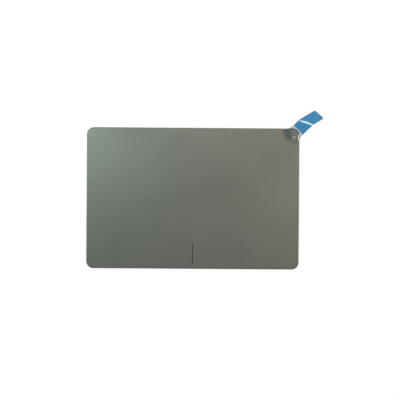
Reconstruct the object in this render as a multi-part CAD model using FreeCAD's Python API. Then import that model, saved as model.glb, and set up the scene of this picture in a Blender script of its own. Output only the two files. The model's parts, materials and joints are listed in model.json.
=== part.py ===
import FreeCAD, Part
import math
import os
from FreeCAD import Vector

# Clickpad module of a portable computer, touch face up, in millimetres.
# Origin: middle of the pad in plan, on the underside of the mounting frame. +X right, +Y to the rear, +Z up.

# Touch cover
PAD_LENGTH = 105.0
PAD_WIDTH = 69.7
PAD_CORNER = 3.5
COVER_THICK = 0.7
COVER_BEVEL = 0.3
ZONE_LINE_LENGTH = 10.6
ZONE_LINE_WIDTH = 0.45
ZONE_LINE_DEPTH = 0.08
ZONE_LINE_TO_EDGE = 1.9
ZONE_LINE_CORNER = 0.2

# Sheets below the cover
COVER_GLUE_THICK = 0.1
GLUE_INSET = 0.3
BOARD_THICK = 0.8
BOARD_INSET = 0.5
PLATE_GLUE_THICK = 0.1

# Support plate, glued under the board
PLATE_THICK = 0.3
PLATE_INSET = 2.0
PLATE_TO_REAR = 11.85
PLATE_CORNER = 3.0
PLATE_WINDOW_LENGTH = 64.0
PLATE_REAR_RAIL = 11.0
PLATE_WINDOW_BEHIND_SWITCH = 7.0
PLATE_RIB = 4.5
PLATE_SIDE_RAIL = 4.0
SIDE_WINDOW_BEHIND_SWITCH = 5.0
WINDOW_CORNER = 2.0
SWITCH_NOTCH_WIDTH = 8.0
SWITCH_NOTCH_MARGIN = 1.4

# Mounting frame, the fixed part
FRAME_THICK = 0.5
FRAME_INSET = 1.5
FRAME_CORNER = 3.5
FRAME_SIDE_RAIL = 9.0
FRAME_REAR_RAIL = 12.0
FRAME_FRONT_RAIL = 10.0
FRAME_WINDOW_CORNER = 3.0
BEAD_WIDTH = 3.2
BEAD_RISE = 0.4
BEAD_SLOPE = 0.5
BEAD_CORNER = 1.0
PRESSED_WALL = 0.15
SIDE_BEAD_LENGTH = 34.0

# Hexagon nuts pressed into the frame corners, flush below and standing up above the sheet
NUT_TO_END = 6.0
NUT_TO_SIDE = 6.35
NUT_BORE_R = 0.8
NUT_HEX_R = 2.2
NUT_HEIGHT = 1.15

# Leaf springs, the hinge of the pad
LEAF_THICK = 0.2
LEAF_WIDTH = 9.0
LEAF_WAIST = 6.4
LEAF_SPACING = 56.0
LEAF_WELD_LENGTH = 4.8
LEAF_FREE_LENGTH = 7.0
LEAF_FOOT_LENGTH = 6.3
LEAF_CORNER = 0.8
LEAF_NOTCH_MARGIN = 1.0
LAND_TO_FRAME_REAR = 7.85
LAND_RISE = 0.9
LAND_MARGIN = 0.7
LAND_SLOPE = 0.8
LAND_CORNER = 1.2

# Rivets through leaf and land
RIVET_SPACING = 4.6
RIVET_SHANK_R = 0.6
RIVET_HEAD_R = 1.1
RIVET_HEAD_HEIGHT = 0.25
RIVET_PLAY = 0.02

# Stop hooks of the support plate and their bridges in the frame
HOOK_TO_FRAME_END = 15.0
HOOK_WIDTH = 5.0
HOOK_FOOT = 2.0
HOOK_SIDE_RELIEF = 0.4
HOOK_BEND_R = 0.27
HOOK_TO_FRAME_FRONT = 6.2
HOOK_BRIDGE_GAP = 0.05
BRIDGE_LENGTH = 10.0
BRIDGE_SPAN = 6.8
BRIDGE_WIDTH = 3.0
BRIDGE_RISE = 0.7
LANCE_GAP = 0.3
LANCE_REAR_GAP = 1.0

# Foam bumpers on the front rail
BUMPER_LENGTH = 8.0
BUMPER_WIDTH = 3.0
BUMPER_TO_HOOK = 12.0
BUMPER_TO_FRAME_FRONT = 4.0
BUMPER_GAP = 0.12

# Click switch under the board and the tongue that presses it
SWITCH_TO_FRONT = 10.85
SWITCH_SIDE = 5.2
SWITCH_CORNER = 0.5
SWITCH_HEIGHT = 0.72
SWITCH_FLOOR = 0.22
SWITCH_TRAVEL = 0.25
SWITCH_RECESS_R = 2.1
SWITCH_COVER_THICK = 0.08
SWITCH_COVER_HOLE_R = 0.95
DOME_R = 2.0
DOME_RISE = 0.28
DOME_THICK = 0.05
DOME_CROWN_SHARE = 0.45
PLUNGER_DISC_R = 1.15
PLUNGER_DISC_THICK = 0.12
PLUNGER_STEM_R = 0.8
PLUNGER_BEVEL = 0.1
PLUNGER_PROUD = 0.2
PLUNGER_GAP = 0.01
TERMINAL_LENGTH = 0.7
TERMINAL_WIDTH = 0.6
TERMINAL_THICK = 0.15
TERMINAL_SPACING = 3.7
TONGUE_WIDTH = 10.0
TONGUE_CORNER = 1.0
TONGUE_ROOT = 2.0
TONGUE_BEYOND_SWITCH = 4.5
TONGUE_SLOT_WIDTH = 1.0
TONGUE_SLOT_LENGTH = 4.5
TRIGGER_GAP = 0.02
TRIGGER_TOP_R = 0.7
TRIGGER_FOOT_R = 1.7
TRIGGER_WALL = 0.2

# Flat cable socket under the board, its mouth to the rear
SOCKET_X = 18.0
SOCKET_TO_WINDOW_REAR = 10.0
CONTACT_COUNT = 12
CONTACT_PITCH = 0.5
CONTACT_WIDTH = 0.2
CONTACT_THICK = 0.12
CONTACT_TAIL = 0.5
CONTACT_COVER = 0.1
CONTACT_PLAY = 0.02
CONTACT_TIP_INSET = 0.6
CONTACT_TIP_LENGTH = 0.5
CONTACT_TIP_DROP = 0.12
CHANNEL_DEPTH = 0.05
CHANNEL_INSET = 0.4
CONTACT_HEEL_GAP = 0.05
SOCKET_END_WALL = 1.6
SOCKET_DEPTH = 3.2
SOCKET_HEIGHT = 1.05
SOCKET_BEVEL = 0.3
MOUTH_HEIGHT = 0.36
MOUTH_ROOF = 0.3
MOUTH_BACK_WALL = 0.9
MOUTH_SIDE_PLAY = 0.3
ANCHOR_THICK = 0.15
ANCHOR_LENGTH = 1.4
ANCHOR_FOOT = 0.5
ANCHOR_RISE = 0.63
LATCH_THICK = 0.4
LATCH_REACH = 0.95
LATCH_PIN_R = 0.12
LATCH_PIN_LENGTH = 0.35
LATCH_CHEEK = 0.6
LATCH_PLAY = 0.05
LATCH_PIN_PLAY = 0.02
LATCH_LIP = 0.28
LATCH_LIP_SLOPE = 0.3

# Chips under the board
CONTROLLER_X = -8.0
CONTROLLER_Y = 0.0
CONTROLLER_SIDE = 6.0
CONTROLLER_HEIGHT = 0.8
CONTROLLER_BEVEL = 0.08
CONTROLLER_MARK_R = 0.25
CONTROLLER_MARK_INSET = 0.8
CONTROLLER_MARK_DEPTH = 0.05
CONTROLLER_PADS_A_SIDE = 10
CONTROLLER_PAD_PITCH = 0.5
CONTROLLER_PAD_WIDTH = 0.25
CONTROLLER_PAD_LENGTH = 0.55
CONTROLLER_PAD_PROUD = 0.12
PAD_THICK = 0.05
SMALL_CHIP_LENGTH = 2.9
SMALL_CHIP_WIDTH = 1.6
SMALL_CHIP_HEIGHT = 0.9
SMALL_CHIP_PITCH = 0.95
SMALL_CHIP_TAPER = 0.08
LEAD_WIDTH = 0.35
LEAD_THICK = 0.12
LEAD_REACH = 0.6
REGULATOR_X = 4.5
REGULATOR_Y = -9.0
SURGE_X = 18.0
SURGE_Y = -5.5
PASSIVE_LENGTH = 1.0
PASSIVE_WIDTH = 0.5
END_CAP = 0.22
CAPACITOR_HEIGHT = 0.5
RESISTOR_HEIGHT = 0.34
PASSIVE_PITCH = 1.9
PASSIVE_TO_CONTROLLER = 2.0

# Ground tape from the board to the support plate
GROUND_TAPE_THICK = 0.08
GROUND_TAPE_WIDTH = 6.0
GROUND_TAPE_ON_BOARD = 4.0
GROUND_TAPE_ON_PLATE = 3.0
GROUND_TAPE_Y = -6.0
GROUND_TAPE_RAMP = 0.5

# Protective film and its lifted corner. Distances along the diagonal are from the pad's sharp corner.
FILM_THICK = 0.1
FILM_INSET = 0.8
FILM_CORNER = 2.8
LIFT_BEFORE_CORNER = 5.17
LIFT_RADIUS = 8.74
LIFT_ANGLE = 25.0
EAR_PAST_CORNER = 0.3
EAR_FROM_CORNER = 9.0

# Pull tab: a clear sticky end on the film and a blue end that folds over
TAB_WIDTH = 6.5
TAPE_THICK = 0.06
TAPE_END_WIDTH = 6.9
TAPE_BEFORE_CORNER = 11.9
TAB_THICK = 0.15
TAB_OVERLAP = 1.1
TAB_RISING_LENGTH = 4.95
TAB_FALLING_LENGTH = 9.5
TAB_FOLD_ANGLE = 60.5
TAB_FOLD_SKEW = 27.0
TAB_FOLD_LEFT_RADIUS = 2.2
TAB_FOLD_RIGHT_RADIUS = 0.75
TAB_FOLD_STEPS = 4
TAB_END_ROUND = 0.9

# How far a cutting shape runs past what it cuts
PAST = 1.0

# Levels, from the mounting plane up
FRAME_TOP = FRAME_THICK
LAND_TOP = FRAME_TOP + LAND_RISE
PLATE_BOTTOM = LAND_TOP + LEAF_THICK
PLATE_TOP = PLATE_BOTTOM + PLATE_THICK
BOARD_BOTTOM = PLATE_TOP + PLATE_GLUE_THICK
BOARD_TOP = BOARD_BOTTOM + BOARD_THICK
COVER_BOTTOM = BOARD_TOP + COVER_GLUE_THICK
COVER_TOP = COVER_BOTTOM + COVER_THICK

# Half sizes in plan
PAD_X = PAD_LENGTH / 2
PAD_Y = PAD_WIDTH / 2
BOARD_X = PAD_X - BOARD_INSET
BOARD_Y = PAD_Y - BOARD_INSET
BOARD_CORNER = PAD_CORNER - BOARD_INSET
PLATE_X = PAD_X - PLATE_INSET
PLATE_FRONT_Y = PLATE_INSET - PAD_Y
PLATE_REAR_Y = PAD_Y - PLATE_TO_REAR
SWITCH_Y = SWITCH_TO_FRONT - PAD_Y
PLATE_WINDOW_REAR_Y = PLATE_REAR_Y - PLATE_REAR_RAIL
PLATE_WINDOW_FRONT_Y = SWITCH_Y + PLATE_WINDOW_BEHIND_SWITCH
SIDE_WINDOW_FRONT_Y = SWITCH_Y + SIDE_WINDOW_BEHIND_SWITCH
FRAME_X = PAD_X - FRAME_INSET
FRAME_Y = PAD_Y - FRAME_INSET
RAIL_REAR_Y = FRAME_Y - FRAME_REAR_RAIL
RAIL_FRONT_Y = FRAME_FRONT_RAIL - FRAME_Y

# Leaf springs, from their foot on the frame to their weld under the support plate
LAND_FRONT_Y = FRAME_Y - LAND_TO_FRAME_REAR
LEAF_REAR_Y = LAND_FRONT_Y + LEAF_FOOT_LENGTH
WELD_REAR_Y = LAND_FRONT_Y - LEAF_FREE_LENGTH
LEAF_FRONT_Y = WELD_REAR_Y - LEAF_WELD_LENGTH

HOOK_X = FRAME_X - HOOK_TO_FRAME_END
HOOK_Y = HOOK_TO_FRAME_FRONT - FRAME_Y
HOOK_TOP = BRIDGE_RISE - HOOK_BRIDGE_GAP
BRIDGE_REAR_Y = HOOK_Y - LANCE_GAP

SWITCH_BOTTOM = BOARD_BOTTOM - SWITCH_HEIGHT - SWITCH_COVER_THICK
PLUNGER_TIP = SWITCH_BOTTOM - PLUNGER_PROUD
TRIGGER_TOP = PLUNGER_TIP - TRIGGER_GAP

SOCKET_Y = PLATE_WINDOW_REAR_Y - SOCKET_TO_WINDOW_REAR
SOCKET_LENGTH = CONTACT_PITCH * (CONTACT_COUNT - 1) + 2 * SOCKET_END_WALL
SOCKET_BOTTOM = BOARD_BOTTOM - SOCKET_HEIGHT
SOCKET_REAR_Y = SOCKET_Y + SOCKET_DEPTH / 2
SOCKET_BACK_Y = SOCKET_Y - SOCKET_DEPTH / 2
MOUTH_TOP = BOARD_BOTTOM - MOUTH_ROOF
LATCH_Z = SOCKET_BOTTOM + LATCH_THICK / 2
LATCH_Y = SOCKET_BACK_Y + LATCH_REACH
LATCH_LENGTH = SOCKET_LENGTH - 2 * (LATCH_CHEEK + LATCH_PLAY)


def box(x0, x1, y0, y1, z0, z1):
    return Part.makeBox(x1 - x0, y1 - y0, z1 - z0, Vector(x0, y0, z0))


def block(x, y, length, width, z0, z1):
    """A box centred on x, y."""
    return box(x - length / 2, x + length / 2, y - width / 2, y + width / 2, z0, z1)


def disc(x, y, radius, z0, z1):
    return Part.makeCylinder(radius, z1 - z0, Vector(x, y, z0))


def hexagon(x, y, radius, z0, z1):
    turns = [math.radians(60 * step) for step in range(6)]
    points = [Vector(x + radius * math.cos(t), y + radius * math.sin(t), z0) for t in turns]
    return prism(points, Vector(0, 0, z1 - z0))


def rounded_wire(x0, x1, y0, y1, radius, z):
    """A rectangle with round corners, at the height z."""
    reach = radius * (1 - math.sqrt(0.5))
    corners = [(x0, y0, 1, 1), (x1, y0, -1, 1), (x1, y1, -1, -1), (x0, y1, 1, -1)]
    arcs = []
    for index, (x, y, to_x, to_y) in enumerate(corners):
        along_x = Vector(x + to_x * radius, y, z)
        middle = Vector(x + to_x * reach, y + to_y * reach, z)
        along_y = Vector(x, y + to_y * radius, z)
        ends = (along_y, middle, along_x) if index % 2 == 0 else (along_x, middle, along_y)
        arcs.append(Part.Arc(*ends))
    edges = []
    for index, arc in enumerate(arcs):
        edges.append(arc.toShape())
        edges.append(Part.LineSegment(arc.EndPoint, arcs[(index + 1) % 4].StartPoint).toShape())
    return Part.Wire(edges)


def rounded_plate(x0, x1, y0, y1, radius, z0, z1):
    return Part.Face(rounded_wire(x0, x1, y0, y1, radius, z0)).extrude(Vector(0, 0, z1 - z0))


def chamfered_plate(x0, x1, y0, y1, bevel, z0, z1):
    body = box(x0, x1, y0, y1, z0, z1)
    upright = [e for e in body.Edges if abs(e.tangentAt(e.FirstParameter).z) > 0.9]
    return body.makeChamfer(bevel, upright)


def prism(points, direction):
    """A solid from a closed outline of points, pushed along a vector."""
    return Part.Face(Part.makePolygon(points + [points[0]])).extrude(direction)


def turned(points, x, y):
    """A solid of revolution about the upright axis at x, y, from (radius, z) points."""
    outline = [Vector(x + r, y, z) for r, z in points]
    face = Part.Face(Part.makePolygon(outline + [outline[0]]))
    return face.revolve(Vector(x, y, 0), Vector(0, 0, 1), 360)


def joined(first, *others):
    return first.multiFuse(list(others)).removeSplitter()


def less(solid, *cutters):
    return solid.cut(Part.makeCompound(list(cutters)))


def mirrored(shapes):
    """The shapes and their mirror images across the middle of the pad."""
    plane = (Vector(0, 0, 0), Vector(1, 0, 0))
    return list(shapes) + [s.mirror(*plane) for s in shapes]


def frustum(x0, x1, y0, y1, corner, slope, z, rise):
    """A low mound with a flat top of the given outline, sloping sides and cone corners."""
    posts = [
        Part.makeCone(corner + slope, corner, rise, Vector(x, y, z))
        for x in (x0 + corner, x1 - corner) for y in (y0 + corner, y1 - corner)
    ]
    across_x = [
        Vector(x0 - slope, y0 + corner, z), Vector(x1 + slope, y0 + corner, z),
        Vector(x1, y0 + corner, z + rise), Vector(x0, y0 + corner, z + rise),
    ]
    across_y = [
        Vector(x0 + corner, y0 - slope, z), Vector(x0 + corner, y1 + slope, z),
        Vector(x0 + corner, y1, z + rise), Vector(x0 + corner, y0, z + rise),
    ]
    long_x = prism(across_x, Vector(0, y1 - y0 - 2 * corner, 0))
    long_y = prism(across_y, Vector(x1 - x0 - 2 * corner, 0, 0))
    return joined(long_x, long_y, *posts)


def pressed_up(x0, x1, y0, y1, corner, slope, rise):
    """The raised metal and the hollow below it of a shape pressed up out of the frame sheet."""
    wall = PRESSED_WALL
    raised = frustum(x0, x1, y0, y1, corner, slope, FRAME_TOP, rise)
    hollow = frustum(x0 + wall, x1 - wall, y0 + wall, y1 - wall, corner - wall, slope, 0, rise)
    return raised, hollow


def switch_drop(y):
    """How far the pad goes down at y when the switch is pressed through."""
    hinge_y = (LAND_FRONT_Y + WELD_REAR_Y) / 2
    return SWITCH_TRAVEL * (hinge_y - y) / (hinge_y - SWITCH_Y)


def nut_places():
    x = FRAME_X - NUT_TO_END
    y = FRAME_Y - NUT_TO_SIDE
    return [(-x, -y), (x, -y), (x, y), (-x, y)]


def rivet_places():
    y = LAND_FRONT_Y + LEAF_FOOT_LENGTH / 2
    inner = (LEAF_SPACING - RIVET_SPACING) / 2
    outer = (LEAF_SPACING + RIVET_SPACING) / 2
    return [(-outer, y), (-inner, y), (inner, y), (outer, y)]


def bridge():
    """The strap over a stop hook, with its ends running down into the sheet."""
    flat = BRIDGE_SPAN / 2
    end = BRIDGE_LENGTH / 2
    step = FRAME_THICK * (end - flat) / (BRIDGE_RISE + FRAME_THICK)
    y = BRIDGE_REAR_Y - BRIDGE_WIDTH
    outline = [
        (-end, 0),
        (-flat, BRIDGE_RISE),
        (flat, BRIDGE_RISE),
        (end, 0),
        (end, FRAME_THICK),
        (flat - step / 2, BRIDGE_RISE + FRAME_THICK),
        (step / 2 - flat, BRIDGE_RISE + FRAME_THICK),
        (-end, FRAME_THICK),
    ]
    return prism([Vector(HOOK_X + x, y, z) for x, z in outline], Vector(0, BRIDGE_WIDTH, 0))


def trigger():
    """The dimple pressed up in the tongue, and the hollow below it."""
    rise = TRIGGER_TOP - FRAME_THICK
    raised = Part.makeCone(TRIGGER_FOOT_R, TRIGGER_TOP_R, rise, Vector(0, SWITCH_Y, FRAME_TOP))
    foot_r = TRIGGER_FOOT_R - TRIGGER_WALL
    top_r = TRIGGER_TOP_R - TRIGGER_WALL
    return raised, Part.makeCone(foot_r, top_r, rise, Vector(0, SWITCH_Y, 0))


def tongue_slot():
    """The slot beside the tongue's root, with a round end."""
    x = TONGUE_WIDTH / 2 + TONGUE_SLOT_WIDTH / 2
    slot = block(x, RAIL_FRONT_Y, TONGUE_SLOT_WIDTH, 2 * TONGUE_SLOT_LENGTH, -PAST, FRAME_TOP + PAST)
    end = disc(x, RAIL_FRONT_Y - TONGUE_SLOT_LENGTH, TONGUE_SLOT_WIDTH / 2, -PAST, FRAME_TOP + PAST)
    return slot, end


def side_bead():
    """The stiffening bead along a side rail."""
    x = FRAME_X - FRAME_SIDE_RAIL / 2
    half = BEAD_WIDTH / 2 - BEAD_SLOPE
    end = SIDE_BEAD_LENGTH / 2
    return pressed_up(x - half, x + half, -end, end, BEAD_CORNER, BEAD_SLOPE, BEAD_RISE)


def leaf_land():
    """The raised seat that a leaf's foot is riveted to."""
    half = LEAF_WIDTH / 2 + LAND_MARGIN
    x = LEAF_SPACING / 2
    return pressed_up(
        x - half, x + half, LAND_FRONT_Y, LEAF_REAR_Y + LAND_MARGIN, LAND_CORNER, LAND_SLOPE, LAND_RISE
    )


def mounting_frame():
    sheet = rounded_plate(-FRAME_X, FRAME_X, -FRAME_Y, FRAME_Y, FRAME_CORNER, 0, FRAME_TOP)
    window_x = FRAME_X - FRAME_SIDE_RAIL
    window = rounded_plate(
        -window_x, window_x, RAIL_FRONT_Y, RAIL_REAR_Y, FRAME_WINDOW_CORNER, -PAST, FRAME_TOP + PAST
    )
    tongue = rounded_plate(
        -TONGUE_WIDTH / 2, TONGUE_WIDTH / 2, RAIL_FRONT_Y - TONGUE_ROOT, SWITCH_Y + TONGUE_BEYOND_SWITCH,
        TONGUE_CORNER, 0, FRAME_TOP,
    )
    lance = box(
        HOOK_X - BRIDGE_LENGTH / 2, HOOK_X + BRIDGE_LENGTH / 2, BRIDGE_REAR_Y - BRIDGE_WIDTH - LANCE_GAP,
        HOOK_Y + PLATE_THICK + LANCE_REAR_GAP, -PAST, FRAME_TOP + PAST,
    )
    dimple, dimple_hollow = trigger()
    bead, bead_hollow = side_bead()
    land, land_hollow = leaf_land()
    raised = [tongue, dimple, *mirrored([bead, land])]
    hollows = [dimple_hollow, *mirrored([bead_hollow, land_hollow, *tongue_slot(), lance])]
    holes = [hexagon(x, y, NUT_HEX_R, -PAST, FRAME_TOP + PAST) for x, y in nut_places()]
    holes += [disc(x, y, RIVET_SHANK_R + RIVET_PLAY, -PAST, LAND_TOP + PAST) for x, y in rivet_places()]
    body = less(joined(less(sheet, window), *raised), *hollows, *holes)
    return joined(body, *mirrored([bridge()]))


def frame_nuts():
    nuts = []
    for x, y in nut_places():
        bore = disc(x, y, NUT_BORE_R, -PAST, NUT_HEIGHT + PAST)
        nuts.append(less(hexagon(x, y, NUT_HEX_R, 0, NUT_HEIGHT), bore))
    return Part.makeCompound(nuts)


def hinge_rivets():
    rivets = []
    for x, y in rivet_places():
        shank = disc(x, y, RIVET_SHANK_R, LAND_RISE, PLATE_BOTTOM)
        low_head = disc(x, y, RIVET_HEAD_R, LAND_RISE - RIVET_HEAD_HEIGHT, LAND_RISE)
        high_head = disc(x, y, RIVET_HEAD_R, PLATE_BOTTOM, PLATE_BOTTOM + RIVET_HEAD_HEIGHT)
        rivets.append(joined(shank, low_head, high_head))
    return Part.makeCompound(rivets)


def hinge_leaf(side):
    """A flat spring with a waist along its free length."""
    x = side * LEAF_SPACING / 2
    half = LEAF_WIDTH / 2
    leaf = chamfered_plate(x - half, x + half, LEAF_FRONT_Y, LEAF_REAR_Y, LEAF_CORNER, LAND_TOP, PLATE_BOTTOM)
    bite = (LEAF_WIDTH - LEAF_WAIST) / 2
    span = LEAF_FREE_LENGTH / 2
    radius = (span * span + bite * bite) / (2 * bite)
    middle = (LAND_FRONT_Y + WELD_REAR_Y) / 2
    reach = half - bite + radius
    low = LAND_TOP - PAST
    high = PLATE_BOTTOM + PAST
    bites = [disc(x + s * reach, middle, radius, low, high) for s in (-1, 1)]
    holes = [
        disc(rx, ry, RIVET_SHANK_R + RIVET_PLAY, low, high)
        for rx, ry in rivet_places() if rx * side > 0
    ]
    return less(leaf, *bites, *holes)


def foam_bumper(side):
    x = side * (HOOK_X - BUMPER_TO_HOOK)
    y = BUMPER_TO_FRAME_FRONT - FRAME_Y
    top = PLATE_BOTTOM - switch_drop(y - BUMPER_WIDTH / 2) - BUMPER_GAP
    return block(x, y, BUMPER_LENGTH, BUMPER_WIDTH, FRAME_TOP, top)


def plate_windows():
    """The sides of the openings that the support plate and its adhesive share: x0, x1, y0, y1."""
    main_x = PLATE_WINDOW_LENGTH / 2
    side_x = main_x + PLATE_RIB
    rail_x = PLATE_X - PLATE_SIDE_RAIL
    return [
        (-main_x, main_x, PLATE_WINDOW_FRONT_Y, PLATE_WINDOW_REAR_Y),
        (side_x, rail_x, SIDE_WINDOW_FRONT_Y, PLATE_WINDOW_REAR_Y),
        (-rail_x, -side_x, SIDE_WINDOW_FRONT_Y, PLATE_WINDOW_REAR_Y),
    ]


def plate_notches(grow, low, high):
    """The square openings for the switch and for the leaves, grown by a margin."""
    switch_front = SWITCH_Y - SWITCH_SIDE / 2 - SWITCH_NOTCH_MARGIN
    switch_x = SWITCH_NOTCH_WIDTH / 2 + grow
    switch_notch = box(-switch_x, switch_x, switch_front - grow, PLATE_WINDOW_FRONT_Y + grow, low, high)
    leaf_half = LEAF_WIDTH / 2 + LEAF_NOTCH_MARGIN + grow
    leaf_x = LEAF_SPACING / 2
    leaf_notch = box(
        leaf_x - leaf_half, leaf_x + leaf_half, WELD_REAR_Y - grow, PLATE_REAR_Y + PAST, low, high
    )
    return [switch_notch, *mirrored([leaf_notch])]


def stop_hook():
    """A tab bent down and forward from the support plate."""
    half = HOOK_WIDTH / 2
    foot_z = HOOK_TOP - PLATE_THICK
    rear_y = HOOK_Y + PLATE_THICK
    front_y = HOOK_Y - HOOK_FOOT
    outline = [
        (HOOK_Y, PLATE_BOTTOM), (rear_y, PLATE_BOTTOM), (rear_y, foot_z),
        (front_y, foot_z), (front_y, HOOK_TOP), (HOOK_Y, HOOK_TOP),
    ]
    hook = prism([Vector(HOOK_X - half, y, z) for y, z in outline], Vector(HOOK_WIDTH, 0, 0))
    outer_bend = Vector(HOOK_X, rear_y, foot_z)
    bend = [e for e in hook.Edges if e.CenterOfMass.distanceToPoint(outer_bend) < 1e-3]
    return hook.makeFillet(HOOK_BEND_R, bend)


def support_plate():
    """The steel plate, with two stop hooks cut free and bent out of it."""
    low = PLATE_BOTTOM - PAST
    high = PLATE_TOP + PAST
    sheet = rounded_plate(
        -PLATE_X, PLATE_X, PLATE_FRONT_Y, PLATE_REAR_Y, PLATE_CORNER, PLATE_BOTTOM, PLATE_TOP
    )
    windows = [rounded_plate(*sides, WINDOW_CORNER, low, high) for sides in plate_windows()]
    half = HOOK_WIDTH / 2 + HOOK_SIDE_RELIEF
    tab_length = HOOK_FOOT + PLATE_BOTTOM - HOOK_TOP
    tab_hole = box(
        HOOK_X - half, HOOK_X + half, HOOK_Y + PLATE_THICK, HOOK_Y + PLATE_THICK + tab_length, low, high
    )
    openings = [*windows, *plate_notches(0, low, high), *mirrored([tab_hole])]
    return joined(less(sheet, *openings), *mirrored([stop_hook()]))


def plate_adhesive():
    """The die cut tape between plate and board, set back from the plate's edges."""
    low = PLATE_TOP - PAST
    high = BOARD_BOTTOM + PAST
    sheet = chamfered_plate(
        GLUE_INSET - PLATE_X, PLATE_X - GLUE_INSET, PLATE_FRONT_Y + GLUE_INSET, PLATE_REAR_Y - GLUE_INSET,
        PLATE_CORNER / 2, PLATE_TOP, BOARD_BOTTOM,
    )
    windows = [
        box(x0 - GLUE_INSET, x1 + GLUE_INSET, y0 - GLUE_INSET, y1 + GLUE_INSET, low, high)
        for x0, x1, y0, y1 in plate_windows()
    ]
    return less(sheet, *windows, *plate_notches(GLUE_INSET, low, high))


def sensor_board():
    return rounded_plate(-BOARD_X, BOARD_X, -BOARD_Y, BOARD_Y, BOARD_CORNER, BOARD_BOTTOM, BOARD_TOP)


def cover_adhesive():
    x = BOARD_X - GLUE_INSET
    y = BOARD_Y - GLUE_INSET
    return rounded_plate(-x, x, -y, y, BOARD_CORNER - GLUE_INSET, BOARD_TOP, COVER_BOTTOM)


def touch_cover():
    cover = rounded_plate(-PAD_X, PAD_X, -PAD_Y, PAD_Y, PAD_CORNER, COVER_BOTTOM, COVER_TOP)
    rim = [e for e in cover.Edges if all(abs(v.Z - COVER_TOP) < 1e-6 for v in e.Vertexes)]
    cover = cover.makeChamfer(COVER_BEVEL, rim)
    front = ZONE_LINE_TO_EDGE - PAD_Y
    half = ZONE_LINE_WIDTH / 2
    groove = rounded_plate(
        -half, half, front, front + ZONE_LINE_LENGTH, ZONE_LINE_CORNER,
        COVER_TOP - ZONE_LINE_DEPTH, COVER_TOP + PAST,
    )
    return less(cover, groove)


def from_corner(along, across, z):
    """A point counted from the pad's sharp rear right corner, out along the diagonal and to its right."""
    share = math.sqrt(0.5)
    return Vector(PAD_X + (along + across) * share, PAD_Y + (along - across) * share, z)


def lifted_layer(low, high, start, end):
    """A layer flat on the cover and bent up towards the corner. low and high are heights over the cover."""
    turn = math.radians(LIFT_ANGLE)
    half_turn = turn / 2
    ramp_start = LIFT_RADIUS * math.sin(turn) - LIFT_BEFORE_CORNER
    width = PAD_LENGTH + PAD_WIDTH

    def edge(off):
        radius = LIFT_RADIUS - off
        bend_z = COVER_TOP + LIFT_RADIUS

        def on_bend(angle):
            along = radius * math.sin(angle) - LIFT_BEFORE_CORNER
            return from_corner(along, -width, bend_z - radius * math.cos(angle))

        flat_end = from_corner(start, -width, COVER_TOP + off)
        foot = on_bend(turn)
        run = end - ramp_start
        top = Vector(0, 0, run * math.tan(turn))
        ramp_end = foot + from_corner(run, 0, 0) - from_corner(0, 0, 0) + top
        return flat_end, on_bend(0), on_bend(half_turn), foot, ramp_end

    a0, a1, a2, a3, a4 = edge(low)
    b0, b1, b2, b3, b4 = edge(high)
    outline = [
        Part.LineSegment(a0, a1), Part.Arc(a1, a2, a3), Part.LineSegment(a3, a4), Part.LineSegment(a4, b4),
        Part.LineSegment(b4, b3), Part.Arc(b3, b2, b1), Part.LineSegment(b1, b0), Part.LineSegment(b0, a0),
    ]
    face = Part.Face(Part.Wire([part.toShape() for part in outline]))
    return face.extrude(from_corner(0, 2 * width, 0) - from_corner(0, 0, 0))


def film_outline():
    """The film's plan outline as a tall solid: a rounded sheet with an ear at the rear right corner."""
    x = PAD_X - FILM_INSET
    y = PAD_Y - FILM_INSET
    low = COVER_TOP - PAST
    high = COVER_TOP + LIFT_RADIUS
    sheet = rounded_plate(-x, x, -y, y, FILM_CORNER, low, high)
    rear_start = Vector(PAD_X - EAR_FROM_CORNER, y, low)
    right_start = Vector(x, PAD_Y - EAR_FROM_CORNER, low)
    ear_left = from_corner(EAR_PAST_CORNER, -TAB_WIDTH / 2, low)
    ear_right = from_corner(EAR_PAST_CORNER, TAB_WIDTH / 2, low)

    def flared(start, tangent, end):
        """An arc that leaves start along a tangent and ends at end."""
        chord = end - start
        across = chord - tangent * chord.dot(tangent)
        radius = chord.dot(chord) / (2 * across.Length)
        centre = start + across.normalize() * radius
        out = (start + end) * 0.5 - centre
        return Part.Arc(start, centre + out.normalize() * radius, end)

    root = from_corner(-2 * EAR_FROM_CORNER, 0, low)
    edges = [
        flared(rear_start, Vector(1, 0, 0), ear_left),
        Part.LineSegment(ear_left, ear_right),
        flared(right_start, Vector(0, 1, 0), ear_right),
        Part.LineSegment(right_start, root),
        Part.LineSegment(root, rear_start),
    ]
    wire = Part.Wire(Part.__sortEdges__([e.toShape() for e in edges]))
    ear = Part.Face(wire).extrude(Vector(0, 0, high - low))
    return joined(sheet, ear)


def protective_film():
    start = -PAD_LENGTH - PAD_WIDTH
    return lifted_layer(0, FILM_THICK, start, EAR_PAST_CORNER + PAST).common(film_outline())


def tab_tape():
    """The clear end of the tab, stuck on the film and running up its lifted corner."""
    start = -TAPE_BEFORE_CORNER - TAPE_END_WIDTH
    layer = lifted_layer(FILM_THICK, FILM_THICK + TAPE_THICK, start, EAR_PAST_CORNER + PAST)
    low = COVER_TOP - PAST
    outline = prism(
        [
            from_corner(-TAPE_BEFORE_CORNER, -TAPE_END_WIDTH / 2, low),
            from_corner(EAR_PAST_CORNER, -TAB_WIDTH / 2, low),
            from_corner(EAR_PAST_CORNER, TAB_WIDTH / 2, low),
            from_corner(-TAPE_BEFORE_CORNER, TAPE_END_WIDTH / 2, low),
        ],
        Vector(0, 0, LIFT_RADIUS),
    )
    return layer.common(outline)


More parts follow.
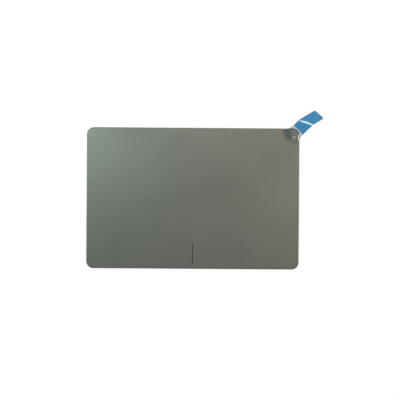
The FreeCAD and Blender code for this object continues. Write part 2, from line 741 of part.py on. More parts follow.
def pull_tab():
    """A strip that goes on up the film's slope and folds down about a line that runs askew across it."""
    slope = math.radians(LIFT_ANGLE)
    skew = math.radians(TAB_FOLD_SKEW)
    fold = math.radians(TAB_FOLD_ANGLE)
    along = (from_corner(1, 0, 0) - from_corner(0, 0, 0)) * math.cos(slope) + Vector(0, 0, math.sin(slope))
    across = from_corner(0, 1, 0) - from_corner(0, 0, 0)
    up = across.cross(along)
    fold_line = along * math.sin(skew) + across * math.cos(skew)
    onward = along * math.cos(skew) - across * math.sin(skew)

    ramp_start = LIFT_RADIUS * math.sin(slope) - LIFT_BEFORE_CORNER
    bend_rise = LIFT_RADIUS * (1 - math.cos(slope))
    foot = from_corner(ramp_start, 0, COVER_TOP + bend_rise)
    near_run = (EAR_PAST_CORNER - TAB_OVERLAP - ramp_start) / math.cos(slope)
    near = foot + along * near_run + up * (FILM_THICK + TAPE_THICK)
    fold_middle = near + along * TAB_RISING_LENGTH
    half_width = TAB_WIDTH / 2
    mean_radius = (TAB_FOLD_LEFT_RADIUS + TAB_FOLD_RIGHT_RADIUS) / 2
    radius_rise = (TAB_FOLD_RIGHT_RADIUS - TAB_FOLD_LEFT_RADIUS) / TAB_WIDTH

    def place(run, side, height):
        """A point of the folded strip, by its run past the fold's middle, its side and its height."""
        radius = mean_radius + radius_rise * side
        half_bend = radius * fold / 2
        past = run * math.cos(skew) - side * math.sin(skew)
        down_line = run * math.sin(skew) + side * math.cos(skew)
        angle = min(max((past + half_bend) / radius, 0), fold)
        before = min(past + half_bend, 0) - half_bend
        after = max(past - half_bend, 0)
        reach = radius + height
        forward = before + reach * math.sin(angle) + after * math.cos(angle)
        upward = reach * math.cos(angle) - radius - after * math.sin(angle)
        return fold_middle + fold_line * down_line + onward * forward + up * upward

    def section(left_run, right_run):
        corners = [
            place(left_run, -half_width, 0), place(right_run, half_width, 0),
            place(right_run, half_width, TAB_THICK), place(left_run, -half_width, TAB_THICK),
        ]
        return Part.makePolygon(corners + [corners[0]])

    sections = [section(-TAB_RISING_LENGTH, -TAB_RISING_LENGTH)]
    for step in range(TAB_FOLD_STEPS + 1):
        share = fold * (step / TAB_FOLD_STEPS - 0.5)
        shift = half_width * math.sin(skew)
        left_run = (TAB_FOLD_LEFT_RADIUS * share - shift) / math.cos(skew)
        right_run = (TAB_FOLD_RIGHT_RADIUS * share + shift) / math.cos(skew)
        sections.append(section(left_run, right_run))
    sections.append(section(TAB_FALLING_LENGTH, TAB_FALLING_LENGTH))
    strip = Part.makeLoft(sections, True, True)
    ends = [place(TAB_FALLING_LENGTH, side * half_width, TAB_THICK / 2) for side in (-1, 1)]
    corners = [e for e in strip.Edges if min(e.CenterOfMass.distanceToPoint(p) for p in ends) < 1e-3]
    return strip.makeFillet(TAB_END_ROUND, corners)


def switch_base():
    """The switch's moulded housing: a square block with a round well for the dome, open downwards."""
    half = SWITCH_SIDE / 2
    low = BOARD_BOTTOM - SWITCH_HEIGHT
    body = chamfered_plate(-half, half, SWITCH_Y - half, SWITCH_Y + half, SWITCH_CORNER, low, BOARD_BOTTOM)
    return less(body, disc(0, SWITCH_Y, SWITCH_RECESS_R, low - PAST, BOARD_BOTTOM - SWITCH_FLOOR))


def switch_terminals():
    x = SWITCH_SIDE / 2 + TERMINAL_LENGTH / 2
    feet = [
        block(x, SWITCH_Y + side * TERMINAL_SPACING / 2, TERMINAL_LENGTH, TERMINAL_WIDTH,
              BOARD_BOTTOM - TERMINAL_THICK, BOARD_BOTTOM)
        for side in (-1, 1)
    ]
    return Part.makeCompound(mirrored(feet))


def switch_dome():
    """A thin snap disc that rests with its rim on the floor of the well and bulges down to the plunger."""
    rim_z = BOARD_BOTTOM - SWITCH_FLOOR
    low = rim_z - DOME_RISE
    crown_r = DOME_CROWN_SHARE * DOME_R
    outline = [
        (0, low),
        (crown_r, low),
        (DOME_R, rim_z - DOME_THICK),
        (DOME_R, rim_z),
        (crown_r, low + DOME_THICK),
        (0, low + DOME_THICK),
    ]
    return turned(outline, 0, SWITCH_Y)


def switch_plunger():
    """A flat head under the dome with a stem through the switch cover."""
    head_top = BOARD_BOTTOM - SWITCH_FLOOR - DOME_RISE - PLUNGER_GAP
    head_low = head_top - PLUNGER_DISC_THICK
    outline = [
        (0, head_top),
        (PLUNGER_DISC_R, head_top),
        (PLUNGER_DISC_R, head_low),
        (PLUNGER_STEM_R, head_low),
        (PLUNGER_STEM_R, PLUNGER_TIP + PLUNGER_BEVEL),
        (PLUNGER_STEM_R - PLUNGER_BEVEL, PLUNGER_TIP),
        (0, PLUNGER_TIP),
    ]
    return turned(outline, 0, SWITCH_Y)


def switch_cover():
    """The stamped cap sheet that closes the well round the plunger's stem."""
    half = SWITCH_SIDE / 2
    top = SWITCH_BOTTOM + SWITCH_COVER_THICK
    cap = chamfered_plate(-half, half, SWITCH_Y - half, SWITCH_Y + half, SWITCH_CORNER, SWITCH_BOTTOM, top)
    return less(cap, disc(0, SWITCH_Y, SWITCH_COVER_HOLE_R, SWITCH_BOTTOM - PAST, top + PAST))


def contact_places():
    first = SOCKET_X - CONTACT_PITCH * (CONTACT_COUNT - 1) / 2
    return [first + CONTACT_PITCH * index for index in range(CONTACT_COUNT)]


def latch_rod(radius, half_length):
    """A rod on the latch's axis, centred on the socket."""
    start = Vector(SOCKET_X - half_length, LATCH_Y, LATCH_Z)
    return Part.makeCylinder(radius, 2 * half_length, start, Vector(1, 0, 0))


def cable_socket_housing():
    """The socket's moulded body: a wide mouth to the rear, a channel per contact and a bay for the latch."""
    body = block(SOCKET_X, SOCKET_Y, SOCKET_LENGTH, SOCKET_DEPTH, SOCKET_BOTTOM, BOARD_BOTTOM)
    corners = [
        e for e in body.Edges
        if abs(e.tangentAt(e.FirstParameter).z) > 0.9 and e.CenterOfMass.y > SOCKET_Y
    ]
    body = body.makeChamfer(SOCKET_BEVEL, corners)
    mouth_half = CONTACT_PITCH * CONTACT_COUNT / 2 + MOUTH_SIDE_PLAY
    mouth = box(
        SOCKET_X - mouth_half, SOCKET_X + mouth_half, SOCKET_BACK_Y + MOUTH_BACK_WALL, SOCKET_REAR_Y + PAST,
        MOUTH_TOP - MOUTH_HEIGHT, MOUTH_TOP,
    )
    bay_half = SOCKET_LENGTH / 2 - LATCH_CHEEK
    bay = box(
        SOCKET_X - bay_half, SOCKET_X + bay_half,
        SOCKET_BACK_Y - PAST, LATCH_Y + LATCH_THICK / 2 + LATCH_PLAY,
        SOCKET_BOTTOM - PAST, SOCKET_BOTTOM + LATCH_THICK + LATCH_PLAY,
    )
    pin_half = bay_half + LATCH_PIN_LENGTH + LATCH_PIN_PLAY
    pin_bore = latch_rod(LATCH_PIN_R + LATCH_PIN_PLAY, pin_half)
    channel_half = CONTACT_WIDTH / 2 + CONTACT_PLAY
    channels = [
        box(x - channel_half, x + channel_half, SOCKET_BACK_Y - PAST, SOCKET_REAR_Y - CHANNEL_INSET,
            MOUTH_TOP - CHANNEL_DEPTH, BOARD_BOTTOM - CONTACT_COVER)
        for x in contact_places()
    ]
    return less(body, mouth, bay, pin_bore, *channels)


def cable_socket_contacts():
    """One spring blade per pole, from a solder tail behind the socket to a curved tip in the mouth."""
    tail_y = SOCKET_BACK_Y - CONTACT_TAIL
    heel_y = SOCKET_BACK_Y - CONTACT_HEEL_GAP
    tip_y = SOCKET_REAR_Y - CONTACT_TIP_INSET
    blade_top = BOARD_BOTTOM - CONTACT_COVER
    blade_low = blade_top - CONTACT_THICK
    outline = [
        (tail_y, BOARD_BOTTOM),
        (heel_y, BOARD_BOTTOM),
        (heel_y, blade_top),
        (tip_y, blade_top),
        (tip_y - CONTACT_TIP_LENGTH / 2, MOUTH_TOP - CONTACT_TIP_DROP),
        (tip_y - CONTACT_TIP_LENGTH, blade_low),
        (heel_y - CONTACT_THICK, blade_low),
        (heel_y - CONTACT_THICK, BOARD_BOTTOM - CONTACT_THICK),
        (tail_y, BOARD_BOTTOM - CONTACT_THICK),
    ]
    blades = [
        prism([Vector(x - CONTACT_WIDTH / 2, y, z) for y, z in outline], Vector(CONTACT_WIDTH, 0, 0))
        for x in contact_places()
    ]
    return Part.makeCompound(blades)


def cable_socket_anchors():
    """A bent solder lug at each end of the socket."""
    outline = [
        (0, 0),
        (ANCHOR_FOOT, 0),
        (ANCHOR_FOOT, -ANCHOR_THICK),
        (ANCHOR_THICK, -ANCHOR_THICK),
        (ANCHOR_THICK, -ANCHOR_RISE),
        (0, -ANCHOR_RISE),
    ]
    lugs = []
    for side in (-1, 1):
        x = SOCKET_X + side * SOCKET_LENGTH / 2
        y = SOCKET_Y - ANCHOR_LENGTH / 2
        points = [Vector(x + side * out, y, BOARD_BOTTOM + up) for out, up in outline]
        lugs.append(prism(points, Vector(0, ANCHOR_LENGTH, 0)))
    return Part.makeCompound(lugs)


def cable_socket_latch():
    """The flip bar behind the mouth, on a pin at each end. Closed, it lies flat and points forward."""
    start_x = SOCKET_X - LATCH_LENGTH / 2
    free_y = LATCH_Y - LATCH_REACH
    low_z = LATCH_Z - LATCH_THICK / 2
    high_z = LATCH_Z + LATCH_THICK / 2

    def at(y, z):
        return Vector(start_x, y, z)

    heel = Part.Arc(at(LATCH_Y, low_z), at(LATCH_Y + LATCH_THICK / 2, LATCH_Z), at(LATCH_Y, high_z))
    edges = [
        heel,
        Part.LineSegment(at(LATCH_Y, high_z), at(free_y + LATCH_LIP_SLOPE, high_z)),
        Part.LineSegment(at(free_y + LATCH_LIP_SLOPE, high_z), at(free_y, low_z + LATCH_LIP)),
        Part.LineSegment(at(free_y, low_z + LATCH_LIP), at(free_y, low_z)),
        Part.LineSegment(at(free_y, low_z), at(LATCH_Y, low_z)),
    ]
    bar = Part.Face(Part.Wire([e.toShape() for e in edges])).extrude(Vector(LATCH_LENGTH, 0, 0))
    pins = latch_rod(LATCH_PIN_R, LATCH_LENGTH / 2 + LATCH_PIN_LENGTH + LATCH_PLAY)
    return joined(bar, pins)


def touch_controller():
    half = CONTROLLER_SIDE / 2
    top = BOARD_BOTTOM - PAD_THICK
    low = top - CONTROLLER_HEIGHT
    body = box(
        CONTROLLER_X - half, CONTROLLER_X + half, CONTROLLER_Y - half, CONTROLLER_Y + half, low, top
    )
    rim = [e for e in body.Edges if all(abs(v.Z - low) < 1e-6 for v in e.Vertexes)]
    body = body.makeChamfer(CONTROLLER_BEVEL, rim)
    mark = disc(
        CONTROLLER_X - half + CONTROLLER_MARK_INSET, CONTROLLER_Y + half - CONTROLLER_MARK_INSET,
        CONTROLLER_MARK_R, low - PAST, low + CONTROLLER_MARK_DEPTH,
    )
    return less(body, mark)


def controller_pads():
    """The solder lands round the controller's underside, standing a little proud of its edge."""
    pads = []
    reach = CONTROLLER_SIDE / 2 + CONTROLLER_PAD_PROUD - CONTROLLER_PAD_LENGTH / 2
    first = -CONTROLLER_PAD_PITCH * (CONTROLLER_PADS_A_SIDE - 1) / 2
    low = BOARD_BOTTOM - PAD_THICK
    for index in range(CONTROLLER_PADS_A_SIDE):
        off = first + index * CONTROLLER_PAD_PITCH
        for side in (-1, 1):
            pads.append(block(CONTROLLER_X + off, CONTROLLER_Y + side * reach,
                              CONTROLLER_PAD_WIDTH, CONTROLLER_PAD_LENGTH, low, BOARD_BOTTOM))
            pads.append(block(CONTROLLER_X + side * reach, CONTROLLER_Y + off,
                              CONTROLLER_PAD_LENGTH, CONTROLLER_PAD_WIDTH, low, BOARD_BOTTOM))
    return Part.makeCompound(pads)


def small_chip(x, y):
    """A moulded body with a waist line along its sides, where the leads come out."""
    half = SMALL_CHIP_WIDTH / 2
    narrow = half - SMALL_CHIP_TAPER
    top = BOARD_BOTTOM - PAD_THICK
    low = top - SMALL_CHIP_HEIGHT
    waist = (top + low) / 2
    outline = [(narrow, low), (half, waist), (narrow, top), (-narrow, top), (-half, waist), (-narrow, low)]
    points = [Vector(x - SMALL_CHIP_LENGTH / 2, y + off, z) for off, z in outline]
    return prism(points, Vector(SMALL_CHIP_LENGTH, 0, 0))


def small_chip_leads(x, y, front_slots, rear_slots):
    """Gull wing leads at the given slots (-1, 0 or 1) of the front and rear sides."""
    waist = BOARD_BOTTOM - PAD_THICK - SMALL_CHIP_HEIGHT / 2
    half = LEAD_THICK / 2
    outline = [
        (0, waist + half), (0, waist - half), (LEAD_REACH / 2, waist - half),
        (LEAD_REACH / 2, BOARD_BOTTOM - LEAD_THICK), (LEAD_REACH, BOARD_BOTTOM - LEAD_THICK),
        (LEAD_REACH, BOARD_BOTTOM), (LEAD_REACH / 2 - LEAD_THICK, BOARD_BOTTOM),
        (LEAD_REACH / 2 - LEAD_THICK, waist + half),
    ]
    leads = []
    for side, slots in ((-1, front_slots), (1, rear_slots)):
        for slot in slots:
            x0 = x + slot * SMALL_CHIP_PITCH - LEAD_WIDTH / 2
            points = [Vector(x0, y + side * (SMALL_CHIP_WIDTH / 2 + off), z) for off, z in outline]
            leads.append(prism(points, Vector(LEAD_WIDTH, 0, 0)))
    return Part.makeCompound(leads)


def capacitor_places():
    """Columns left and right of the controller and a row behind it, beside the regulator two more."""
    side = CONTROLLER_SIDE / 2 + PASSIVE_TO_CONTROLLER
    places = []
    for index in range(4):
        off = (index - 1.5) * PASSIVE_PITCH
        places.append((CONTROLLER_X - side, CONTROLLER_Y + off))
        places.append((CONTROLLER_X + off, CONTROLLER_Y + side))
    for end in (-1, 1):
        places.append((REGULATOR_X + end * (SMALL_CHIP_LENGTH / 2 + PASSIVE_PITCH), REGULATOR_Y))
    return places


def resistor_places():
    """A row in front of the controller and a row in front of the surge protector."""
    side = CONTROLLER_SIDE / 2 + PASSIVE_TO_CONTROLLER
    controller_row = [(CONTROLLER_X + (index - 2) * PASSIVE_PITCH, CONTROLLER_Y - side) for index in range(5)]
    surge_y = SURGE_Y - SMALL_CHIP_WIDTH / 2 - PASSIVE_TO_CONTROLLER
    surge_row = [(SURGE_X + (index - 1) * PASSIVE_PITCH, surge_y) for index in range(3)]
    return controller_row + surge_row


def passive_bodies(places, height):
    length = PASSIVE_LENGTH - 2 * END_CAP
    return Part.makeCompound(
        [block(x, y, length, PASSIVE_WIDTH, BOARD_BOTTOM - height, BOARD_BOTTOM) for x, y in places]
    )


def chip_end_caps():
    caps = []
    for places, height in ((capacitor_places(), CAPACITOR_HEIGHT), (resistor_places(), RESISTOR_HEIGHT)):
        for x, y in places:
            for side in (-1, 1):
                cap_x = x + side * (PASSIVE_LENGTH - END_CAP) / 2
                caps.append(block(cap_x, y, END_CAP, PASSIVE_WIDTH, BOARD_BOTTOM - height, BOARD_BOTTOM))
    return Part.makeCompound(caps)


def ground_tape():
    """A conductive tape that steps from the board down to the underside of the support plate."""
    edge = PLATE_WINDOW_LENGTH / 2
    foot = edge - GROUND_TAPE_RAMP
    outline = [
        (edge - GROUND_TAPE_ON_BOARD, BOARD_BOTTOM), (foot, BOARD_BOTTOM), (edge, PLATE_BOTTOM),
        (edge + GROUND_TAPE_ON_PLATE, PLATE_BOTTOM),
        (edge + GROUND_TAPE_ON_PLATE, PLATE_BOTTOM - GROUND_TAPE_THICK),
        (edge - GROUND_TAPE_THICK / 2, PLATE_BOTTOM - GROUND_TAPE_THICK),
        (foot - GROUND_TAPE_THICK / 2, BOARD_BOTTOM - GROUND_TAPE_THICK),
        (edge - GROUND_TAPE_ON_BOARD, BOARD_BOTTOM - GROUND_TAPE_THICK),
    ]
    y = GROUND_TAPE_Y - GROUND_TAPE_WIDTH / 2
    return prism([Vector(x, y, z) for x, z in outline], Vector(0, GROUND_TAPE_WIDTH, 0))


def nodes():
    """Every piece of the module by name."""
    capacitors = capacitor_places()
    resistors = resistor_places()
    return {
        "mounting_frame": mounting_frame(),
        "frame_nuts": frame_nuts(),
        "hinge_rivets": hinge_rivets(),
        "hinge_leaf_left": hinge_leaf(-1),
        "hinge_leaf_right": hinge_leaf(1),
        "foam_bumper_left": foam_bumper(-1),
        "foam_bumper_right": foam_bumper(1),
        "support_plate": support_plate(),
        "plate_adhesive": plate_adhesive(),
        "sensor_board": sensor_board(),
        "cover_adhesive": cover_adhesive(),
        "touch_cover": touch_cover(),
        "protective_film": protective_film(),
        "tab_tape": tab_tape(),
        "pull_tab": pull_tab(),
        "switch_base": switch_base(),
        "switch_terminals": switch_terminals(),
        "switch_dome": switch_dome(),
        "switch_plunger": switch_plunger(),
        "switch_cover": switch_cover(),
        "cable_socket_housing": cable_socket_housing(),
        "cable_socket_contacts": cable_socket_contacts(),
        "cable_socket_anchors": cable_socket_anchors(),
        "cable_socket_latch": cable_socket_latch(),
        "touch_controller": touch_controller(),
        "controller_pads": controller_pads(),
        "power_regulator": small_chip(REGULATOR_X, REGULATOR_Y),
        "power_regulator_leads": small_chip_leads(REGULATOR_X, REGULATOR_Y, (-1, 0, 1), (-1, 1)),
        "surge_protector": small_chip(SURGE_X, SURGE_Y),
        "surge_protector_leads": small_chip_leads(SURGE_X, SURGE_Y, (-1, 0, 1), (-1, 0, 1)),
        "capacitor_bodies": passive_bodies(capacitors, CAPACITOR_HEIGHT),
        "resistor_bodies": passive_bodies(resistors, RESISTOR_HEIGHT),
        "chip_end_caps": chip_end_caps(),
        "ground_tape": ground_tape(),
    }


os.makedirs("parts", exist_ok=True)
for name, shape in nodes().items():
    shape.exportStep("parts/%s.step" % name)
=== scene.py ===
import json
import math
import bmesh
import bpy
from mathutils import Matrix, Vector


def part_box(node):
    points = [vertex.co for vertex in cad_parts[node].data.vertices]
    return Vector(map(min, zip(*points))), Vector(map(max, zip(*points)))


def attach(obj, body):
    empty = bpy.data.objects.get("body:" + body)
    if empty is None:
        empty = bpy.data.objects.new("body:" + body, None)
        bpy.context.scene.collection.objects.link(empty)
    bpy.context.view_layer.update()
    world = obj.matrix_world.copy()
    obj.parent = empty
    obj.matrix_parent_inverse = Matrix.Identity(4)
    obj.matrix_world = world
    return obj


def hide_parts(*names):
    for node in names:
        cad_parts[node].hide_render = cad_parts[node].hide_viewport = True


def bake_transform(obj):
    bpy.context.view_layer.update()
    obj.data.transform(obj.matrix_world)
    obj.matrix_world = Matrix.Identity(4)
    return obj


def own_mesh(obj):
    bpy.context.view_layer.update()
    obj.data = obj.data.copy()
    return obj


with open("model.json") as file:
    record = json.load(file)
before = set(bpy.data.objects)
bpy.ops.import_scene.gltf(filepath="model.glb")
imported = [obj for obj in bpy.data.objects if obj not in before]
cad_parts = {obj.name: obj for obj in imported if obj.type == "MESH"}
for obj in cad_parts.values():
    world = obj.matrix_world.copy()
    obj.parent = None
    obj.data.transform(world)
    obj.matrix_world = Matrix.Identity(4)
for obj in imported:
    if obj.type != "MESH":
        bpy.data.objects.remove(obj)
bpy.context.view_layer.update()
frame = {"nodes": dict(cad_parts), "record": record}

MM = 0.001

# Sizes of the pad that the new pieces share with the solids, in millimetres
PAD_X = 52.5
PAD_Y = 34.85
PAD_CORNER = 3.5
COVER_TOP = 3.6
RIM_ROUND = 0.26
FOOT_ROUND = 0.08
ZONE_LINE_X = 0.225
ZONE_LINE_FRONT = -32.95
ZONE_LINE_REAR = -22.35
ZONE_LINE_FLOOR = 3.52

# The clear film and its lifted corner; along and across are counted from the pad's sharp rear right corner
FILM_X = 51.7
FILM_Y = 34.05
FILM_CORNER = 2.8
FILM_THICK = 0.1
LIFT_START = -5.17
LIFT_RADIUS = 8.74
LIFT_ANGLE = math.radians(25)
RAMP_START = LIFT_START + LIFT_RADIUS * math.sin(LIFT_ANGLE)
EAR_END = 0.3
EAR_FROM_CORNER = 9.0
TAB_HALF = 3.25
TAPE_START = -12.1
TAPE_START_HALF = 3.45
TAPE_START_SKEW = 0.08
TAPE_THICK = 0.06
LAYER_GAP = 0.01
SLICE_START = -14.0
SLICE_REACH = 12.0
SLICES = 44
FLARE_STEPS = 10

# The air under the film reaches inwards to a soft curve
AIR_START = -7.75
AIR_SPREAD = 0.07
AIR_MIDDLE = 0.3
AIR_RISE = 0.13
AIR_SOFT = 3.4

# The blue tab: a rising run, an oblique fold that is softer on its left, and a falling run
TAB_THICK = 0.15
TAB_OVERLAP = 1.1
TAB_RISING = 4.95
TAB_FALLING = 9.5
FOLD_SKEW = math.radians(27)
FOLD_ANGLE = math.radians(60.5)
FOLD_LEFT_RADIUS = 2.2
FOLD_RIGHT_RADIUS = 0.75
TAB_END_ROUND = 0.9

# Where the hinge leaves bend, and how much the edges of the leaves and the click dome are rounded
LEAF_BEND_FRAME = 24.5
LEAF_BEND_PAD = 19.5
LEAF_BEND_STEPS = 6
LEAF_ROUND = 0.03
DOME_ROUND = 0.01

# How the solids' loose triangles are joined up, which edges are sharp, which faces are large enough to be
# flat, and how much an edge of the cover climbs if it stands
SAME_PLACE = 0.001
SAME_PLANE = math.radians(1)
SHARP_EDGE = math.radians(35)
SHARP_SHEET_EDGE = math.radians(40)
SHARP_TAB_EDGE = math.radians(50)
FLAT_SHARE = 100
STANDING = 0.1


# Small tools for modelling


def deselect():
    if bpy.context.mode != "OBJECT":
        bpy.ops.object.mode_set(mode="OBJECT")
    bpy.ops.object.select_all(action="DESELECT")


def newest():
    return bpy.context.view_layer.objects.active


def pick(piece, kind, wanted):
    """Selects the verts, edges or faces that pass a test, in edit mode."""
    modes = {"verts": (True, False, False), "edges": (False, True, False), "faces": (False, False, True)}
    bpy.context.tool_settings.mesh_select_mode = modes[kind]
    bpy.ops.mesh.select_all(action="DESELECT")
    mesh = bmesh.from_edit_mesh(piece.data)
    for part in getattr(mesh, kind):
        part.select_set(bool(wanted(part)))
    mesh.select_flush_mode()
    bmesh.update_edit_mesh(piece.data)


def middle(part):
    """The middle of an edge or face, in millimetres."""
    points = [v.co for v in part.verts]
    return sum(points, Vector()) / len(points) / MM


def stands_up(edge):
    return abs(edge.verts[0].co.z - edge.verts[1].co.z) > STANDING * MM


def cut_at(piece, faces, point, normal, **more):
    """Splits the wanted faces along a plane given in millimetres."""
    pick(piece, "faces", faces)
    bpy.ops.mesh.bisect(plane_co=Vector(point) * MM, plane_no=normal, **more)


def block_between(low, high):
    deselect()
    bpy.ops.mesh.primitive_cube_add(size=1, location=(Vector(low) + Vector(high)) / 2)
    piece = newest()
    piece.scale = Vector(high) - Vector(low)
    bpy.ops.object.transform_apply(location=True, rotation=True, scale=True)
    return piece


def sheet_between(x0, x1, y0, y1, z):
    """A flat rectangle, in millimetres."""
    deselect()
    bpy.ops.mesh.primitive_plane_add(size=1, location=((x0 + x1) / 2 * MM, (y0 + y1) / 2 * MM, z * MM))
    piece = newest()
    piece.scale = ((x1 - x0) * MM, (y1 - y0) * MM, 1)
    bpy.ops.object.transform_apply(location=True, rotation=True, scale=True)
    return piece


def alone(piece):
    deselect()
    piece.select_set(True)
    bpy.context.view_layer.objects.active = piece


def modify(piece, kind, **settings):
    """Adds a modifier and applies it."""
    alone(piece)
    modifier = piece.modifiers.new(kind.title(), kind)
    for name, value in settings.items():
        setattr(modifier, name, value)
    bpy.ops.object.modifier_apply(modifier=modifier.name)


def smooth(piece, sharp=SHARP_EDGE):
    alone(piece)
    bpy.ops.object.shade_smooth_by_angle(angle=sharp)


def hand_in(piece, name, body, finish, slot, *replaced):
    """Names the finished piece, gives it its material and lets it ride on its body, if it has only one."""
    deselect()
    piece.name = name
    piece.data.name = name
    piece.data.materials.clear()
    piece.data.materials.append(finish)
    if body:
        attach(piece, body)
    if replaced:
        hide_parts(*replaced)
    return piece


# Shader writing


class Wire:
    """An output of a shader node. Sums and products of wires add Math nodes."""

    def __init__(self, finish, socket):
        self.finish = finish
        self.socket = socket

    def math(self, operation, *values):
        return self.finish.node("ShaderNodeMath", {"operation": operation}, values)

    def __add__(self, other):
        return self.math("ADD", self, other)

    def __radd__(self, other):
        return self.math("ADD", other, self)

    def __sub__(self, other):
        return self.math("SUBTRACT", self, other)

    def __rsub__(self, other):
        return self.math("SUBTRACT", other, self)

    def __mul__(self, other):
        return self.math("MULTIPLY", self, other)

    def __rmul__(self, other):
        return self.math("MULTIPLY", other, self)

    def __truediv__(self, other):
        return self.math("DIVIDE", self, other)

    def __abs__(self):
        return self.math("ABSOLUTE", self)

    def most(self, other):
        return self.math("MAXIMUM", self, other)

    def least(self, other):
        return self.math("MINIMUM", self, other)

    def root(self):
        return self.math("SQRT", self)

    def fraction(self):
        return self.math("FRACT", self)

    def sine(self):
        return self.math("SINE", self)

    def rises(self, start, end):
        """0 at start and 1 at end, with soft ends; end may be the smaller."""
        inputs = {"Value": self, "From Min": start, "From Max": end}
        return self.finish.node("ShaderNodeMapRange", {"interpolation_type": "SMOOTHSTEP"}, inputs)

    def near(self, centre, reach):
        """1 at the centre, 0 at the reach on both sides."""
        return abs(self - centre).rises(reach, 0)


class Finish:
    """A material with one Principled shader and patterns in millimetres."""

    def __init__(self, name):
        self.material = bpy.data.materials.new(name)
        self.material.use_nodes = True
        self.tree = self.material.node_tree
        self.shader = next(n for n in self.tree.nodes if n.type == "BSDF_PRINCIPLED")
        metres = self.node("ShaderNodeTexCoord", {}, {}, "Object")
        scaling = {"Vector": metres, "Scale": 1 / MM}
        self.place = self.node("ShaderNodeVectorMath", {"operation": "SCALE"}, scaling)
        self.x, self.y, self.z = (self.node("ShaderNodeSeparateXYZ", {}, [self.place], i) for i in range(3))

    def node(self, kind, settings, inputs, output=0):
        made = self.tree.nodes.new(kind)
        for name, value in settings.items():
            setattr(made, name, value)
        for key, value in inputs.items() if isinstance(inputs, dict) else enumerate(inputs):
            self.feed(made.inputs[key], value)
        return Wire(self, made.outputs[output])

    def feed(self, socket, value):
        if isinstance(value, Wire):
            self.tree.links.new(value.socket, socket)
        elif socket.type == "RGBA":
            socket.default_value = (*value, 1)
        else:
            socket.default_value = value

    def shine(self, **sockets):
        """Sets the shader's own sockets: Base_Color, Roughness and so on."""
        for name, value in sockets.items():
            self.feed(self.shader.inputs[name.replace("_", " ")], value)
        return self.material

    def noise(self, size, detail=2.0, rough=0.5, stretch=(1, 1, 1)):
        """Soft noise with features of about the given size in millimetres."""
        at = self.node("ShaderNodeVectorMath", {"operation": "MULTIPLY"}, [self.place, stretch])
        inputs = {"Vector": at, "Scale": 1 / size, "Detail": detail, "Roughness": rough}
        return self.node("ShaderNodeTexNoise", {}, inputs)

    def cells(self, size):
        """Distance to the middle of the nearest cell, for cells of about the given size in millimetres."""
        return self.node("ShaderNodeTexVoronoi", {}, {"Vector": self.place, "Scale": 1 / size})

    def mix(self, share, first, second):
        """A blend of two colours, from the first at 0 to the second at 1."""
        return self.node("ShaderNodeMix", {"data_type": "RGBA"}, {0: share, 6: first, 7: second}, 2)

    def bump(self, height, depth, strength=1.0):
        """A relief of the given depth in millimetres."""
        inputs = {"Strength": strength, "Distance": depth * MM, "Height": height}
        return self.node("ShaderNodeBump", {}, inputs)

    def to_edge(self):
        """How far a point lies inside the pad's round cornered outline: 0 on it, negative within."""
        over_x = abs(self.x) - (PAD_X - PAD_CORNER)
        over_y = abs(self.y) - (PAD_Y - PAD_CORNER)
        out_x = over_x.most(0)
        out_y = over_y.most(0)
        corner = (out_x * out_x + out_y * out_y).root()
        return corner + over_x.most(over_y).least(0) - PAD_CORNER

    def from_corner(self):
        """Places along the diagonal through the rear right corner, and across it."""
        dx = self.x - PAD_X
        dy = self.y - PAD_Y
        return (dx + dy) * math.sqrt(0.5), (dx - dy) * math.sqrt(0.5)


def screen(red, green, blue):
    """A colour as it shows on a screen, from 0 to 255."""

    def linear(value):
        share = value / 255
        return share / 12.92 if share <= 0.04045 else ((share + 0.055) / 1.055) ** 2.4

    return linear(red), linear(green), linear(blue)


# Finishes

COVER_TONE = screen(89, 93, 87)
COVER_TONE_LIGHT = screen(94, 97, 91)
COVER_TONE_FLECK = screen(101, 104, 97)
# Lighter tone of the painted highlight along the cover's rim
COVER_RIM_PAINTED_HIGHLIGHT = screen(124, 127, 122)
BLUE_TONE = screen(40, 128, 180)
BLUE_TONE_GREY = screen(58, 134, 182)
BLUE_TONE_GREEN = screen(34, 138, 178)
BLUE_TONE_EDGE = screen(22, 92, 144)

# The clear sheets' refraction, how much of their gloss shows, and how fast a tint takes over from it
FILM_INDEX = 1.45
FILM_GLOSS = 0.2
PAINT_STEEPNESS = 30

# The board's hatched copper, its two bands of tracks and its vias, in millimetres
HATCH_PITCH = 1.5
TRACK_PITCH = 0.52
TRACKS_AT = 8
VIA_STEP_X = 5.2
VIA_STEP_Y = 5.0

# The leaves' weld spots, two on each leaf
LEAF_AT = 28
WELD_FROM_LEAF = 2.2
WELD_Y = 16.1


def etched_cover():
    f = Finish("etched_cover")
    edge = f.to_edge()
    clouds = f.noise(26, 3)
    mottle = f.noise(2.4, 1)
    grain = f.noise(0.11, 2)
    body = f.mix(clouds.rises(0.3, 0.7), COVER_TONE, COVER_TONE_LIGHT)
    body = f.mix(mottle.rises(0.35, 0.75) * 0.25, body, COVER_TONE_FLECK)
    # Painted highlight: the band at the rim, outside the film's edge, is made a little lighter
    rim = edge.rises(-0.95, -0.75)
    body = f.mix(rim * 0.05, body, COVER_RIM_PAINTED_HIGHLIGHT)
    wall = f.z.rises(COVER_TOP - 0.003, COVER_TOP - 0.05)
    body = f.mix(wall, body, screen(26, 27, 26))
    line = abs(f.x).rises(ZONE_LINE_X + 0.08, ZONE_LINE_X) * f.z.rises(COVER_TOP - 0.005, COVER_TOP - 0.03)
    line = line * f.y.rises(-20, -22) * edge.rises(-0.5, -1.0)
    body = f.mix(line, body, screen(18, 19, 18))
    plain = (wall + line).least(1.0)
    return f.shine(
        Base_Color=body, Metallic=0.62 * (1 - plain), Roughness=0.36 + mottle * 0.05 + plain * 0.3,
        Normal=f.bump(grain, 0.0004, 0.25), Specular_IOR_Level=0.3,
    )


